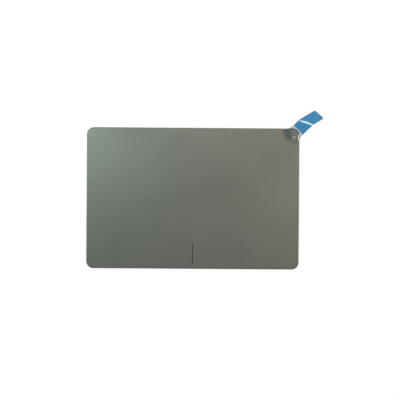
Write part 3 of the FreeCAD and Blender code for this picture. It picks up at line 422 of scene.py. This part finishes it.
def clear_film():
    """Nearly invisible where it lies flat; hazy and tinted at the lifted corner, with painted shade, a
    painted light patch and a painted glint.
    """
    f = Finish("clear_film")
    along, across = f.from_corner()
    edge = f.to_edge()
    off = across - AIR_MIDDLE
    air = along - AIR_START - off * off * AIR_SPREAD
    rear_side = across.rises(2.0, -2.5)
    inner = air.rises(1.5, 5.0)
    lifted = air.rises(-2.1, 2.7)
    # Painted shade: the film is darkened inside the edge of the lifted corner, more on its rear side and
    # less towards the corner
    shade = lifted * (0.13 + rear_side * 0.27) * (1 - inner * 0.45)
    # Painted light: a pale patch in the lifted film near the corner
    patch_along = (along + 5.1) / 1.7
    patch_across = (across - 1.4) / 2.0
    patch = (patch_along * patch_along + patch_across * patch_across).root().rises(1.1, 0.1)
    beyond = edge.rises(-0.05, 0.1)
    tinted = beyond * (along + across * 0.25).rises(-2.6, -2.1)
    # Painted shadow: a dark line along the pad's edge under the lifted film
    outline = edge.near(-0.1, 0.4) * air.rises(1.5, 3.0)
    # Painted highlight: a white glint on the film's raised edge near the pad's right side, with painted
    # shade in a brownish band beside it
    glint_x = (f.x - 51.95) / 0.24
    glint_y = (f.y - 30.3) / 2.0
    glint = (glint_x * glint_x + glint_y * glint_y).root().rises(1.0, 0.6)
    glint_side = (f.x - 51.45).near(0, 0.35) * (f.y - 30.6).near(0, 2.4)
    rim_line = edge.near(-0.84, 0.2) * air.rises(0.5, -0.5) * (0.5 + f.x.rises(40, 50) * 0.5)
    # Colours of the painted shade: dark teal on the rear side, brownish on the other, both lighter towards
    # the corner
    dark_side = f.mix(inner, screen(72, 94, 106), screen(112, 142, 146))
    pale_side = f.mix(inner, screen(96, 92, 82), screen(126, 140, 138))
    body = f.mix(rear_side, pale_side, dark_side)
    body = f.mix(patch, body, screen(172, 174, 166))
    body = f.mix(glint_side, body, screen(92, 80, 74))
    body = f.mix(rim_line, body, screen(60, 60, 56))
    body = f.mix(outline, body, screen(40, 44, 44))
    body = f.mix(tinted, body, screen(198, 184, 202))
    body = f.mix(glint, body, screen(255, 255, 255))
    # Beyond the pad's edge, where the film is not tinted, the painted shade's colours are laid on too
    painted = shade + patch * 0.3 + glint_side * 0.3 + rim_line * 0.08 + outline * 0.36 + beyond * 0.25
    painted = painted.most(tinted * 0.55).most(glint)
    gloss = f.node("ShaderNodeFresnel", {}, {"IOR": FILM_INDEX})
    clear = (1 - painted * PAINT_STEEPNESS).most(0)
    body = f.mix(clear, body, (1, 1, 1))
    hide = (gloss * FILM_GLOSS + painted).least(1.0)
    relief = (f.noise(3.5, 2) + f.noise(0.9, 2) * 0.3) * air.rises(-1.5, 1.5)
    return f.shine(
        Base_Color=body, Metallic=clear, Roughness=0.42 - clear * 0.33, Alpha=hide,
        Normal=f.bump(relief, 0.02, 0.3), Specular_IOR_Level=0.3,
    )


def clear_tape():
    """The tab's sticky end: clear, with the light and shade of a raised crease painted at its inner end and
    a bright strip by the blue.
    """
    f = Finish("clear_tape")
    along, across = f.from_corner()
    past_end = along - TAPE_START - across * TAPE_START_SKEW
    # Painted light and shade of the crease: a dark line and a lit line beside it, both broken up by noise,
    # and dark spots at the crease's ends
    crease_patchiness = f.noise(1.1, 3).rises(0.2, 0.7)
    crease_shade = past_end.near(0.15, 0.3) * (0.5 + crease_patchiness * 0.5)
    lit = past_end.near(0.6, 0.26) * (0.4 + crease_patchiness * 0.6)
    spots = (abs(across - 0.1) - 3.2).near(0, 0.45) * past_end.near(0.3, 0.5)
    strip = along.rises(-1.4, -1.2)
    body = f.mix(lit, (1, 1, 1), screen(168, 168, 156))
    body = f.mix((crease_shade + spots).least(1.0), body, screen(62, 62, 56))
    body = f.mix(strip, body, screen(176, 198, 214))
    painted = (lit * 0.15 + crease_shade * 0.24 + spots * 0.14).most(strip * 0.8)
    clear = (1 - painted * PAINT_STEEPNESS).most(0)
    gloss = f.node("ShaderNodeFresnel", {}, {"IOR": FILM_INDEX})
    return f.shine(
        Base_Color=f.mix(clear, body, (1, 1, 1)), Metallic=clear, Roughness=0.35 - clear * 0.25,
        Alpha=(gloss * FILM_GLOSS + painted).least(1.0), Normal=f.bump(f.noise(2.2, 2), 0.02, 0.2),
    )


def blue_film():
    """Blue on both faces, darker at its cut edges, and with a painted highlight along the fold."""
    f = Finish("blue_film")
    at = f.node("ShaderNodeAttribute", {"attribute_name": "strip_place"}, {}, "Vector")
    side, run = (f.node("ShaderNodeSeparateXYZ", {}, [at], i) for i in range(2))
    past = run * math.cos(FOLD_SKEW) - side * math.sin(FOLD_SKEW)
    down_line = run * math.sin(FOLD_SKEW) + side * math.cos(FOLD_SKEW)
    patches = f.noise(2.6, 2, 0.5)
    clouds = f.noise(6, 2)
    body = f.mix(patches.rises(0.35, 0.65), BLUE_TONE, BLUE_TONE_GREY)
    body = f.mix(clouds.rises(0.45, 0.7) * 0.5, body, BLUE_TONE_GREEN)
    rim = abs(side).rises(TAB_HALF - 0.6, TAB_HALF).most(run.rises(TAB_FALLING - 0.6, TAB_FALLING))
    body = f.mix(rim * 0.6, body, BLUE_TONE_EDGE)
    # Painted highlight: a pale cyan lens along the fold, dimmer towards its left end
    bow = down_line - 0.6
    arch = 0.72 - bow * bow * 0.032
    fold_highlight = past.rises(-0.16, 0.02) * (arch - past).rises(0.0, 0.14)
    fold_highlight = fold_highlight * (0.35 + down_line.rises(-3.0, -1.6) * 0.65)
    body = f.mix(fold_highlight, body, screen(214, 250, 255))
    return f.shine(
        Base_Color=body, Roughness=0.2 + patches * 0.08, Specular_IOR_Level=0.5,
        Normal=f.bump(f.noise(1.8, 2), 0.02, 0.25),
    )


def solder_mask():
    """Green lacquer over hatched copper, with vias, and a raw cut edge."""
    f = Finish("solder_mask")
    edge = f.to_edge()
    wave = f.noise(3, 2)

    def stripes(value, pitch, share):
        return abs((value / pitch).fraction() - 0.5).rises(share / 2, share / 2 - 0.06)

    hatch = stripes(f.x + f.y, HATCH_PITCH, 0.34).most(stripes(f.x - f.y, HATCH_PITCH, 0.34))
    off_x = abs(f.x - TRACKS_AT)
    off_y = abs(f.y - TRACKS_AT)
    tracks_x = stripes(f.y, TRACK_PITCH, 0.45) * off_y.rises(3.2, 3.0)
    tracks_y = stripes(f.x, TRACK_PITCH, 0.45) * off_x.rises(4.6, 4.4)
    cleared = off_y.rises(3.8, 3.6).most(off_x.rises(5.2, 5.0))
    copper = (hatch * (1 - cleared)).most(tracks_x).most(tracks_y)
    cell_x = (f.x / VIA_STEP_X).fraction() - 0.5
    cell_y = (f.y / VIA_STEP_Y).fraction() - 0.5
    from_via = ((cell_x * cell_x * 27) + (cell_y * cell_y * 25)).root()
    ring = from_via.rises(0.42, 0.36)
    hole = from_via.rises(0.16, 0.12)
    body = f.mix(copper * 0.8, screen(14, 66, 44), screen(26, 104, 66))
    body = f.mix(wave.rises(0.4, 0.8) * 0.25, body, screen(10, 54, 40))
    body = f.mix(ring, body, screen(40, 120, 78))
    body = f.mix(hole, body, screen(10, 30, 22))
    cut = edge.rises(-0.54, -0.51)
    layers = abs((f.z / 0.1).fraction() - 0.5).rises(0.1, 0.4)
    body = f.mix(cut, body, f.mix(layers, screen(150, 158, 104), screen(108, 122, 74)))
    relief = copper + ring - hole
    return f.shine(
        Base_Color=body, Roughness=0.28 + cut * 0.4 + wave * 0.08,
        Normal=f.bump(relief, 0.03, 0.6), Specular_IOR_Level=0.5,
    )


def rolled_steel(name, tone, low_tone, along, welds=False):
    """Sheet steel with its grain along x or y, faint blotches, and spots where leaves are welded."""
    f = Finish(name)
    stretch = (0.06, 1, 1) if along == "x" else (1, 0.06, 1)
    grain = f.noise(0.16, 3, 0.6, stretch)
    blotch = f.noise(7, 3)
    body = f.mix(grain.rises(0.3, 0.75), low_tone, tone)
    body = f.mix(blotch.rises(0.4, 0.75) * 0.3, body, low_tone)
    rough = 0.3 + grain * 0.12 + blotch * 0.08
    relief = grain
    if welds:
        off_x = abs(abs(f.x) - LEAF_AT) - WELD_FROM_LEAF
        off_y = f.y - WELD_Y
        spot = (off_x * off_x + off_y * off_y).root()
        ring = spot.near(0.85, 0.35)
        pit = spot.rises(0.8, 0.5)
        body = f.mix(ring * 0.8, body, screen(140, 104, 62))
        body = f.mix(spot.near(1.25, 0.3) * 0.5, body, screen(84, 92, 130))
        body = f.mix(pit, body, screen(112, 110, 108))
        relief = relief * 0.2 - pit * 2
    return f.shine(Base_Color=body, Metallic=1.0, Roughness=rough, Normal=f.bump(relief, 0.012, 0.5))


def plated(name, tone, low_tone, rough):
    f = Finish(name)
    mottle = f.noise(0.5, 4, 0.6)
    body = f.mix(mottle.rises(0.35, 0.7), low_tone, tone)
    return f.shine(
        Base_Color=body, Metallic=1.0, Roughness=rough + mottle * 0.12, Normal=f.bump(mottle, 0.008, 0.5)
    )


def cell_foam():
    f = Finish("cell_foam")
    pores = f.cells(0.22)
    clouds = f.noise(1.5, 3)
    body = f.mix(pores.rises(0.2, 0.8), screen(22, 22, 23), screen(58, 58, 60))
    body = f.mix(clouds * 0.4, body, screen(36, 36, 38))
    return f.shine(Base_Color=body, Roughness=0.92, Normal=f.bump(pores, 0.08), Specular_IOR_Level=0.2)


def moulded(name, tone, fleck, rough, size=0.18, depth=0.01):
    """A moulded or fired piece with fine flecks of filler."""
    f = Finish(name)
    flecks = f.noise(size, 4, 0.7)
    clouds = f.noise(size * 12, 2)
    body = f.mix(flecks.rises(0.45, 0.8), tone, fleck)
    body = f.mix(clouds.rises(0.4, 0.8) * 0.3, body, fleck)
    return f.shine(Base_Color=body, Roughness=rough + clouds * 0.1, Normal=f.bump(flecks, depth, 0.6))


def milky_tape():
    f = Finish("milky_tape")
    fibres = f.noise(0.3, 3, 0.6, (1, 0.15, 1)).most(f.noise(0.3, 3, 0.6, (0.15, 1, 1)))
    body = f.mix(fibres.rises(0.4, 0.7), screen(206, 206, 192), screen(232, 231, 222))
    return f.shine(Base_Color=body, Roughness=0.6, Normal=f.bump(fibres, 0.01, 0.4))


def woven_foil():
    f = Finish("woven_foil")
    turn = 2 * math.pi / 0.36
    warp = (f.x * turn).sine()
    weft = (f.y * turn).sine()
    weave = warp * weft
    body = f.mix(weave.rises(-0.8, 0.8), screen(120, 118, 112), screen(196, 194, 188))
    body = f.mix(f.noise(2, 3).rises(0.4, 0.8) * 0.3, body, screen(150, 146, 136))
    return f.shine(Base_Color=body, Metallic=0.9, Roughness=0.42, Normal=f.bump(weave, 0.03, 0.7))


stamped = rolled_steel("stamped_steel", screen(178, 181, 181), screen(138, 142, 143), "x")
spring = rolled_steel("spring_steel", screen(166, 166, 163), screen(122, 122, 120), "y", welds=True)
bright = plated("nut_plate", screen(200, 200, 196), screen(164, 164, 160), 0.2)
tinned = plated("tin", screen(214, 214, 210), screen(178, 178, 174), 0.24)
gilded = plated("gold", screen(226, 184, 92), screen(198, 152, 66), 0.2)
resin = moulded("chip_resin", screen(26, 26, 28), screen(48, 48, 51), 0.5)
ceramic = moulded("ceramic", screen(176, 142, 106), screen(200, 170, 134), 0.45, 0.08)
glaze = moulded("resistor_glaze", screen(20, 20, 22), screen(42, 42, 46), 0.2, 0.1, 0.004)
ivory = moulded("socket_nylon", screen(226, 220, 200), screen(238, 233, 216), 0.42, 0.3, 0.006)
dark_nylon = moulded("latch_nylon", screen(34, 32, 32), screen(56, 53, 52), 0.4, 0.3, 0.006)
cover = etched_cover()
film = clear_film()
tape = clear_tape()
blue = blue_film()
mask = solder_mask()
milky = milky_tape()
foam = cell_foam()
foil = woven_foil()

FINISH_OF_SLOT = {
    "cover_glass": cover, "clear_film": film, "blue_film": blue, "adhesive": milky, "board": mask,
    "stamped_steel": stamped, "spring_steel": spring, "nut_steel": bright, "foam": foam, "chip_resin": resin,
    "tin": tinned, "gold": gilded, "ceramic": ceramic, "resistor_glaze": glaze, "socket_nylon": ivory,
    "latch_nylon": dark_nylon, "ground_foil": foil,
}
for part in frame["record"]["subparts"]:
    for material_slot in frame["nodes"][part["node"]].material_slots:
        material_slot.material = FINISH_OF_SLOT[part["material_slot"]]


# New pieces


def touch_cover():
    """The cover plate with round corners, a soft rim and the zone line cut in."""
    low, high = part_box("touch_cover")
    piece = block_between(low, high)
    bpy.ops.object.mode_set(mode="EDIT")
    pick(piece, "edges", stands_up)
    bpy.ops.mesh.bevel(offset=PAD_CORNER * MM, segments=20, affect="EDGES")
    pick(piece, "edges", lambda e: all(v.co.z > high.z - 1e-7 for v in e.verts))
    bpy.ops.mesh.bevel(offset=RIM_ROUND * MM, segments=6, affect="EDGES")
    pick(piece, "edges", lambda e: all(v.co.z < low.z + 1e-7 for v in e.verts))
    bpy.ops.mesh.bevel(offset=FOOT_ROUND * MM, segments=2, affect="EDGES")
    cutter = block_between(
        Vector((-ZONE_LINE_X, ZONE_LINE_FRONT, ZONE_LINE_FLOOR)) * MM,
        Vector((ZONE_LINE_X, ZONE_LINE_REAR, COVER_TOP + 1)) * MM,
    )
    bpy.ops.object.mode_set(mode="EDIT")
    pick(cutter, "edges", stands_up)
    bpy.ops.mesh.bevel(offset=ZONE_LINE_X * 0.9 * MM, segments=5, affect="EDGES")
    modify(piece, "BOOLEAN", operation="DIFFERENCE", object=cutter, solver="EXACT")
    bpy.data.objects.remove(cutter)
    smooth(piece)
    return hand_in(piece, "touch_cover_plate", "pad", cover, "cover_glass", "touch_cover")


def corner_point(along, across):
    """x and y in millimetres of a place counted from the pad's sharp rear right corner."""
    share = math.sqrt(0.5)
    return PAD_X + (along + across) * share, PAD_Y + (along - across) * share


def corner_place(x, y):
    """Along and across, counted from the same corner, of a place in x and y."""
    share = math.sqrt(0.5)
    return (x - PAD_X + y - PAD_Y) * share, (x - PAD_X - y + PAD_Y) * share


def film_rise(x, y):
    """How high the film stands off the cover at a place: the lifted corner and the air under it."""
    along, across = corner_place(x, y)
    turn = math.asin(min(max((along - LIFT_START) / LIFT_RADIUS, 0), math.sin(LIFT_ANGLE)))
    lift = LIFT_RADIUS * (1 - math.cos(turn)) + max(along - RAMP_START, 0) * math.tan(LIFT_ANGLE)
    inward = along - AIR_START - AIR_SPREAD * (across - AIR_MIDDLE) ** 2
    share = min(max(inward / AIR_SOFT, 0), 1)
    air = AIR_RISE * share * share * (3 - 2 * share)
    return (lift ** 3 + air ** 3) ** (1 / 3)


def slice_corner(piece):
    """Divides the mesh near the corner into small faces, along the diagonal and across it."""
    diagonal = Vector((1, 1, 0)).normalized()
    crossing = Vector((1, -1, 0)).normalized()

    def beyond(face):
        x, y, _ = middle(face)
        return corner_place(x, y)[0] > SLICE_START

    for step in range(SLICES + 1):
        along = SLICE_START + (EAR_END - SLICE_START) * step / SLICES
        cut_at(piece, lambda f: step == 0 or beyond(f), (*corner_point(along, 0), 0), diagonal)
    for step in range(-SLICES, SLICES + 1):
        cut_at(piece, beyond, (*corner_point(0, SLICE_REACH * step / SLICES), 0), crossing)


def raise_corner(piece):
    """Lifts every point of a flat sheet on to the film's shape."""
    bpy.ops.object.mode_set(mode="OBJECT")
    for vertex in piece.data.vertices:
        x, y, _ = vertex.co / MM
        vertex.co.z += film_rise(x, y) * MM


def flared(start, tangent, end):
    """Points of an arc that leaves start along a tangent and arrives at end."""
    start, tangent, end = Vector(start), Vector(tangent), Vector(end)
    chord = end - start
    across = chord - tangent * chord.dot(tangent)
    radius = chord.length_squared / (2 * across.length)
    centre = start + across.normalized() * radius
    turn = (start - centre).angle(end - centre)
    outward = (start - centre).normalized()
    points = []
    for step in range(1, FLARE_STEPS + 1):
        angle = turn * step / FLARE_STEPS
        points.append(centre + outward * radius * math.cos(angle) + tangent * radius * math.sin(angle))
    return points


def protective_film():
    piece = sheet_between(-FILM_X, FILM_X, -FILM_Y, FILM_Y, COVER_TOP + LAYER_GAP)
    bpy.ops.object.mode_set(mode="EDIT")
    pick(piece, "verts", lambda v: not (v.co.x > 0 and v.co.y > 0))
    bpy.ops.mesh.bevel(offset=FILM_CORNER * MM, segments=12, affect="VERTICES")
    rear = Vector((PAD_X - EAR_FROM_CORNER, FILM_Y, 0))
    right = Vector((FILM_X, PAD_Y - EAR_FROM_CORNER, 0))
    outward = Vector((rear.y - right.y, right.x - rear.x, 0)).normalized()
    cut_at(piece, lambda f: True, rear, outward, clear_outer=True)
    ear_left = corner_point(EAR_END, -TAB_HALF)
    ear_right = corner_point(EAR_END, TAB_HALF)
    left_side = flared(rear.xy, (1, 0), ear_left)
    right_side = flared(right.xy, (0, 1), ear_right)
    pick(piece, "edges", lambda e: (middle(e) - (rear + right) / 2).xy.length < 0.1)
    for left_end, right_end in zip(left_side, right_side):
        bpy.ops.mesh.extrude_region_move()
        mesh = bmesh.from_edit_mesh(piece.data)
        ends = sorted((v for v in mesh.verts if v.select), key=lambda v: v.co.x)
        for vertex, (x, y) in zip(ends, (left_end, right_end)):
            vertex.co.x = x * MM
            vertex.co.y = y * MM
        bmesh.update_edit_mesh(piece.data)
    slice_corner(piece)
    raise_corner(piece)
    modify(piece, "SOLIDIFY", thickness=FILM_THICK * MM, offset=1)
    smooth(piece, SHARP_SHEET_EDGE)
    return hand_in(piece, "protective_film_sheet", "pad", film, "clear_film", "protective_film")


def tab_tape():
    """The clear sticky end of the tab: a strip along the diagonal that widens inwards."""
    deselect()
    bpy.ops.mesh.primitive_plane_add(size=1, location=(0, 0, (COVER_TOP + FILM_THICK + 2 * LAYER_GAP) * MM))
    piece = newest()
    bpy.ops.object.transform_apply(location=True, rotation=True, scale=True)
    ends = {
        (-1, -1): (TAPE_START - TAPE_START_HALF * TAPE_START_SKEW, -TAPE_START_HALF),
        (-1, 1): (TAPE_START + TAPE_START_HALF * TAPE_START_SKEW, TAPE_START_HALF),
        (1, 1): (EAR_END, TAB_HALF),
        (1, -1): (EAR_END, -TAB_HALF),
    }
    for vertex in piece.data.vertices:
        key = (round(math.copysign(1, vertex.co.x)), round(math.copysign(1, vertex.co.y)))
        x, y = corner_point(*ends[key])
        vertex.co.x = x * MM
        vertex.co.y = y * MM
    bpy.ops.object.mode_set(mode="EDIT")
    bpy.ops.mesh.select_all(action="SELECT")
    bpy.ops.mesh.normals_make_consistent(inside=False)
    slice_corner(piece)
    raise_corner(piece)
    if piece.data.polygons[0].normal.z < 0:
        piece.data.flip_normals()
    modify(piece, "SOLIDIFY", thickness=TAPE_THICK * MM, offset=1)
    smooth(piece, SHARP_SHEET_EDGE)
    return hand_in(piece, "tab_tape_end", "pad", tape, "clear_film", "tab_tape")


def over_fold(side, past):
    """Where a point of the strip comes, forward and up, at its distance past the fold's middle line."""
    share = side / (2 * TAB_HALF) + 0.5
    radius = FOLD_LEFT_RADIUS + (FOLD_RIGHT_RADIUS - FOLD_LEFT_RADIUS) * share
    half_bend = radius * FOLD_ANGLE / 2
    angle = min(max((past + half_bend) / radius, 0), FOLD_ANGLE)
    before = min(past + half_bend, 0) - half_bend
    after = max(past - half_bend, 0)
    forward = before + radius * math.sin(angle) + after * math.cos(angle)
    upward = radius * (math.cos(angle) - 1) - after * math.sin(angle)
    return forward, upward


def pull_tab():
    """The blue strip, made flat, divided, and then bent over its oblique fold."""
    piece = sheet_between(-TAB_HALF, TAB_HALF, -TAB_RISING, TAB_FALLING, 0)
    bpy.ops.object.mode_set(mode="EDIT")
    pick(piece, "verts", lambda v: v.co.y > 0)
    bpy.ops.mesh.bevel(offset=TAB_END_ROUND * MM, segments=8, affect="VERTICES")
    past_fold = Vector((-math.sin(FOLD_SKEW), math.cos(FOLD_SKEW), 0))
    down_fold = Vector((math.cos(FOLD_SKEW), math.sin(FOLD_SKEW), 0))
    bend_cuts = [step * 0.08 for step in range(-16, 17)]
    run_cuts = [step * 0.7 + 0.31 for step in range(-7, 16)]
    side_cuts = [step * 0.42 for step in range(-11, 12)]
    for past in bend_cuts + run_cuts:
        cut_at(piece, lambda f: True, past_fold * past, past_fold)
    for down in side_cuts:
        cut_at(piece, lambda f: True, down_fold * down, down_fold)
    bpy.ops.object.mode_set(mode="OBJECT")

    out = Vector((1, 1, 0)).normalized()
    along = out * math.cos(LIFT_ANGLE) + Vector((0, 0, math.sin(LIFT_ANGLE)))
    across = Vector((1, -1, 0)).normalized()
    up = across.cross(along)
    fold_line = along * math.sin(FOLD_SKEW) + across * math.cos(FOLD_SKEW)
    onward = along * math.cos(FOLD_SKEW) - across * math.sin(FOLD_SKEW)
    ramp_rise = LIFT_RADIUS * (1 - math.cos(LIFT_ANGLE))
    foot = Vector((*corner_point(RAMP_START, 0), COVER_TOP + 2 * LAYER_GAP + ramp_rise))
    near_run = (EAR_END - TAB_OVERLAP - RAMP_START) / math.cos(LIFT_ANGLE)
    fold_middle = foot + along * (near_run + TAB_RISING) + up * (FILM_THICK + TAPE_THICK)

    places = piece.data.attributes.new("strip_place", "FLOAT_VECTOR", "POINT")
    for vertex in piece.data.vertices:
        side, run, _ = vertex.co / MM
        past = run * math.cos(FOLD_SKEW) - side * math.sin(FOLD_SKEW)
        down_line = run * math.sin(FOLD_SKEW) + side * math.cos(FOLD_SKEW)
        forward, upward = over_fold(side, past)
        places.data[vertex.index].vector = (side, run, 0)
        vertex.co = (fold_middle + fold_line * down_line + onward * forward + up * upward) * MM
    modify(piece, "SOLIDIFY", thickness=TAB_THICK * MM, offset=1)
    smooth(piece, SHARP_TAB_EDGE)
    return hand_in(piece, "pull_tab_strip", "pad", blue, "blue_film", "pull_tab")


def rounded_node(node, width, bend_lines=()):
    """A copy of a solid node with its sharp edges rounded. With bend lines it rides on no body."""
    piece = bpy.data.objects.new(node, frame["nodes"][node].data.copy())
    bpy.context.collection.objects.link(piece)
    alone(piece)
    bpy.ops.object.mode_set(mode="EDIT")
    bpy.ops.mesh.select_all(action="SELECT")
    bpy.ops.mesh.remove_doubles(threshold=SAME_PLACE * MM)
    bpy.ops.mesh.dissolve_limited(angle_limit=SAME_PLANE)
    for y in bend_lines:
        cut_at(piece, lambda f: True, (0, y, 0), (0, 1, 0))
    modify(piece, "BEVEL", width=width * MM, segments=2, limit_method="ANGLE", angle_limit=SHARP_EDGE)
    smooth(piece)
    flat_area = FLAT_SHARE * (width * MM) ** 2
    bpy.ops.object.mode_set(mode="EDIT")
    pick(piece, "faces", lambda f: f.calc_area() > flat_area)
    bpy.ops.mesh.faces_shade_flat()
    bodies = frame["record"]["behaviour"]["bodies"]
    body = None if bend_lines else next(name for name, nodes in bodies.items() if node in nodes)
    slot = next(s["material_slot"] for s in frame["record"]["subparts"] if s["node"] == node)
    return hand_in(piece, node + "_rounded", body, FINISH_OF_SLOT[slot], slot, node)


def hinge_leaf(node):
    """A leaf that rides on no body, cut across where it bends between the frame it is riveted to and the pad
    it is welded to.
    """
    step = (LEAF_BEND_FRAME - LEAF_BEND_PAD) / LEAF_BEND_STEPS
    leaf = rounded_node(node, LEAF_ROUND, [LEAF_BEND_PAD + step * k for k in range(LEAF_BEND_STEPS + 1)])
    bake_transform(leaf)


def switch_dome():
    """The click dome with its edges rounded, on a mesh of its own; the real dome flattens towards its rim as
    the plunger goes in.
    """
    dome = rounded_node("switch_dome", DOME_ROUND)
    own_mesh(dome)


# The rounds of the other solids, in millimetres
EDGE_ROUND_OF_NODE = {
    "mounting_frame": 0.1, "frame_nuts": 0.06, "hinge_rivets": 0.06,
    "foam_bumper_left": 0.3, "foam_bumper_right": 0.3, "support_plate": 0.04,
    "switch_base": 0.04, "switch_plunger": 0.04, "switch_cover": 0.02, "cable_socket_housing": 0.03,
    "cable_socket_latch": 0.05, "touch_controller": 0.04, "power_regulator": 0.04, "surge_protector": 0.04,
    "capacitor_bodies": 0.02, "resistor_bodies": 0.02, "chip_end_caps": 0.02,
}

touch_cover()
protective_film()
tab_tape()
pull_tab()
hinge_leaf("hinge_leaf_left")
hinge_leaf("hinge_leaf_right")
switch_dome()
for node, width in EDGE_ROUND_OF_NODE.items():
    rounded_node(node, width)


# Studio

FLOOR_SIZE = 8
FLOOR_DROP = 0.02
FLOOR_GLOW = 1.04
FLOOR_GLOW_SHARE = 0.88
SKY_STRENGTH = 0.376
SKY_IN_METAL = 0.376
CAMERA_X = 3.56
CAMERA_Y = -0.8
CAMERA_HEIGHT = 500.0
VIEW_FIELD = 197.7
PHOTO_TURN = math.radians(0.42)


def camera():
    data = bpy.data.cameras.new("photo_camera")
    data.sensor_width = 36
    data.lens = data.sensor_width * (CAMERA_HEIGHT - COVER_TOP) / VIEW_FIELD
    data.clip_start = 0.01
    data.clip_end = 50
    made = bpy.data.objects.new("photo_camera", data)
    made.location = Vector((CAMERA_X, CAMERA_Y, CAMERA_HEIGHT)) * MM
    made.rotation_euler = (0, 0, PHOTO_TURN)
    bpy.context.collection.objects.link(made)
    bpy.context.scene.camera = made


def lamp(name, place, aim, size, power, colour):
    """A square soft box at a place in millimetres."""
    data = bpy.data.lights.new(name, "AREA")
    data.size = size * MM
    data.energy = power
    data.color = colour
    made = bpy.data.objects.new(name, data)
    made.location = Vector(place) * MM
    made.rotation_euler = (Vector(place) - Vector(aim)).to_track_quat("Z", "Y").to_euler()
    bpy.context.collection.objects.link(made)


def ray(f, *kinds):
    """1 for the named kinds of ray, 0 for others."""
    found = [f.node("ShaderNodeLightPath", {}, {}, "Is %s Ray" % kind) for kind in kinds]
    return sum(found[1:], found[0])


def floor():
    deselect()
    bpy.ops.mesh.primitive_plane_add(size=FLOOR_SIZE, location=(0, 0, -FLOOR_DROP * MM))
    piece = newest()
    piece.name = "studio_floor"
    f = Finish("studio_floor")
    f.shine(Base_Color=screen(240, 240, 240), Roughness=0.9)
    glow = f.node("ShaderNodeEmission", {}, {"Color": (1, 1, 1), "Strength": FLOOR_GLOW})
    share = ray(f, "Camera", "Glossy", "Transmission") * FLOOR_GLOW_SHARE
    out = next(n for n in f.tree.nodes if n.type == "OUTPUT_MATERIAL")
    mixed = f.node("ShaderNodeMixShader", {}, [share, Wire(f, f.shader.outputs[0]), glow])
    f.tree.links.new(mixed.socket, out.inputs["Surface"])
    piece.data.materials.append(f.material)


class Sky(Finish):
    """The world's nodes, written as a finish is."""

    def __init__(self):
        world = bpy.data.worlds.new("studio_world")
        bpy.context.scene.world = world
        world.use_nodes = True
        self.material = world
        self.tree = world.node_tree
        self.shader = next(n for n in self.tree.nodes if n.type == "BACKGROUND")


def sky():
    f = Sky()
    seen = ray(f, "Camera") * (1 - SKY_STRENGTH)
    mirrored = ray(f, "Glossy", "Transmission") * SKY_IN_METAL
    f.shine(Color=(1, 1, 1), Strength=SKY_STRENGTH + seen + mirrored)


camera()
floor()
sky()
lamp("left_soft_box", (-244, 125, 500), (-20, 10, 0), 160, 0.96, (0.8, 1.0, 0.98))
lamp("rear_soft_box", (4, 288, 537), (0, 10, 0), 150, 0.83, (1.0, 0.9, 0.82))
lamp("right_soft_box", (236, 40, 420), (40, 0, 0), 140, 0.54, (1.0, 0.77, 0.66))

bpy.context.scene.view_settings.view_transform = "Standard"
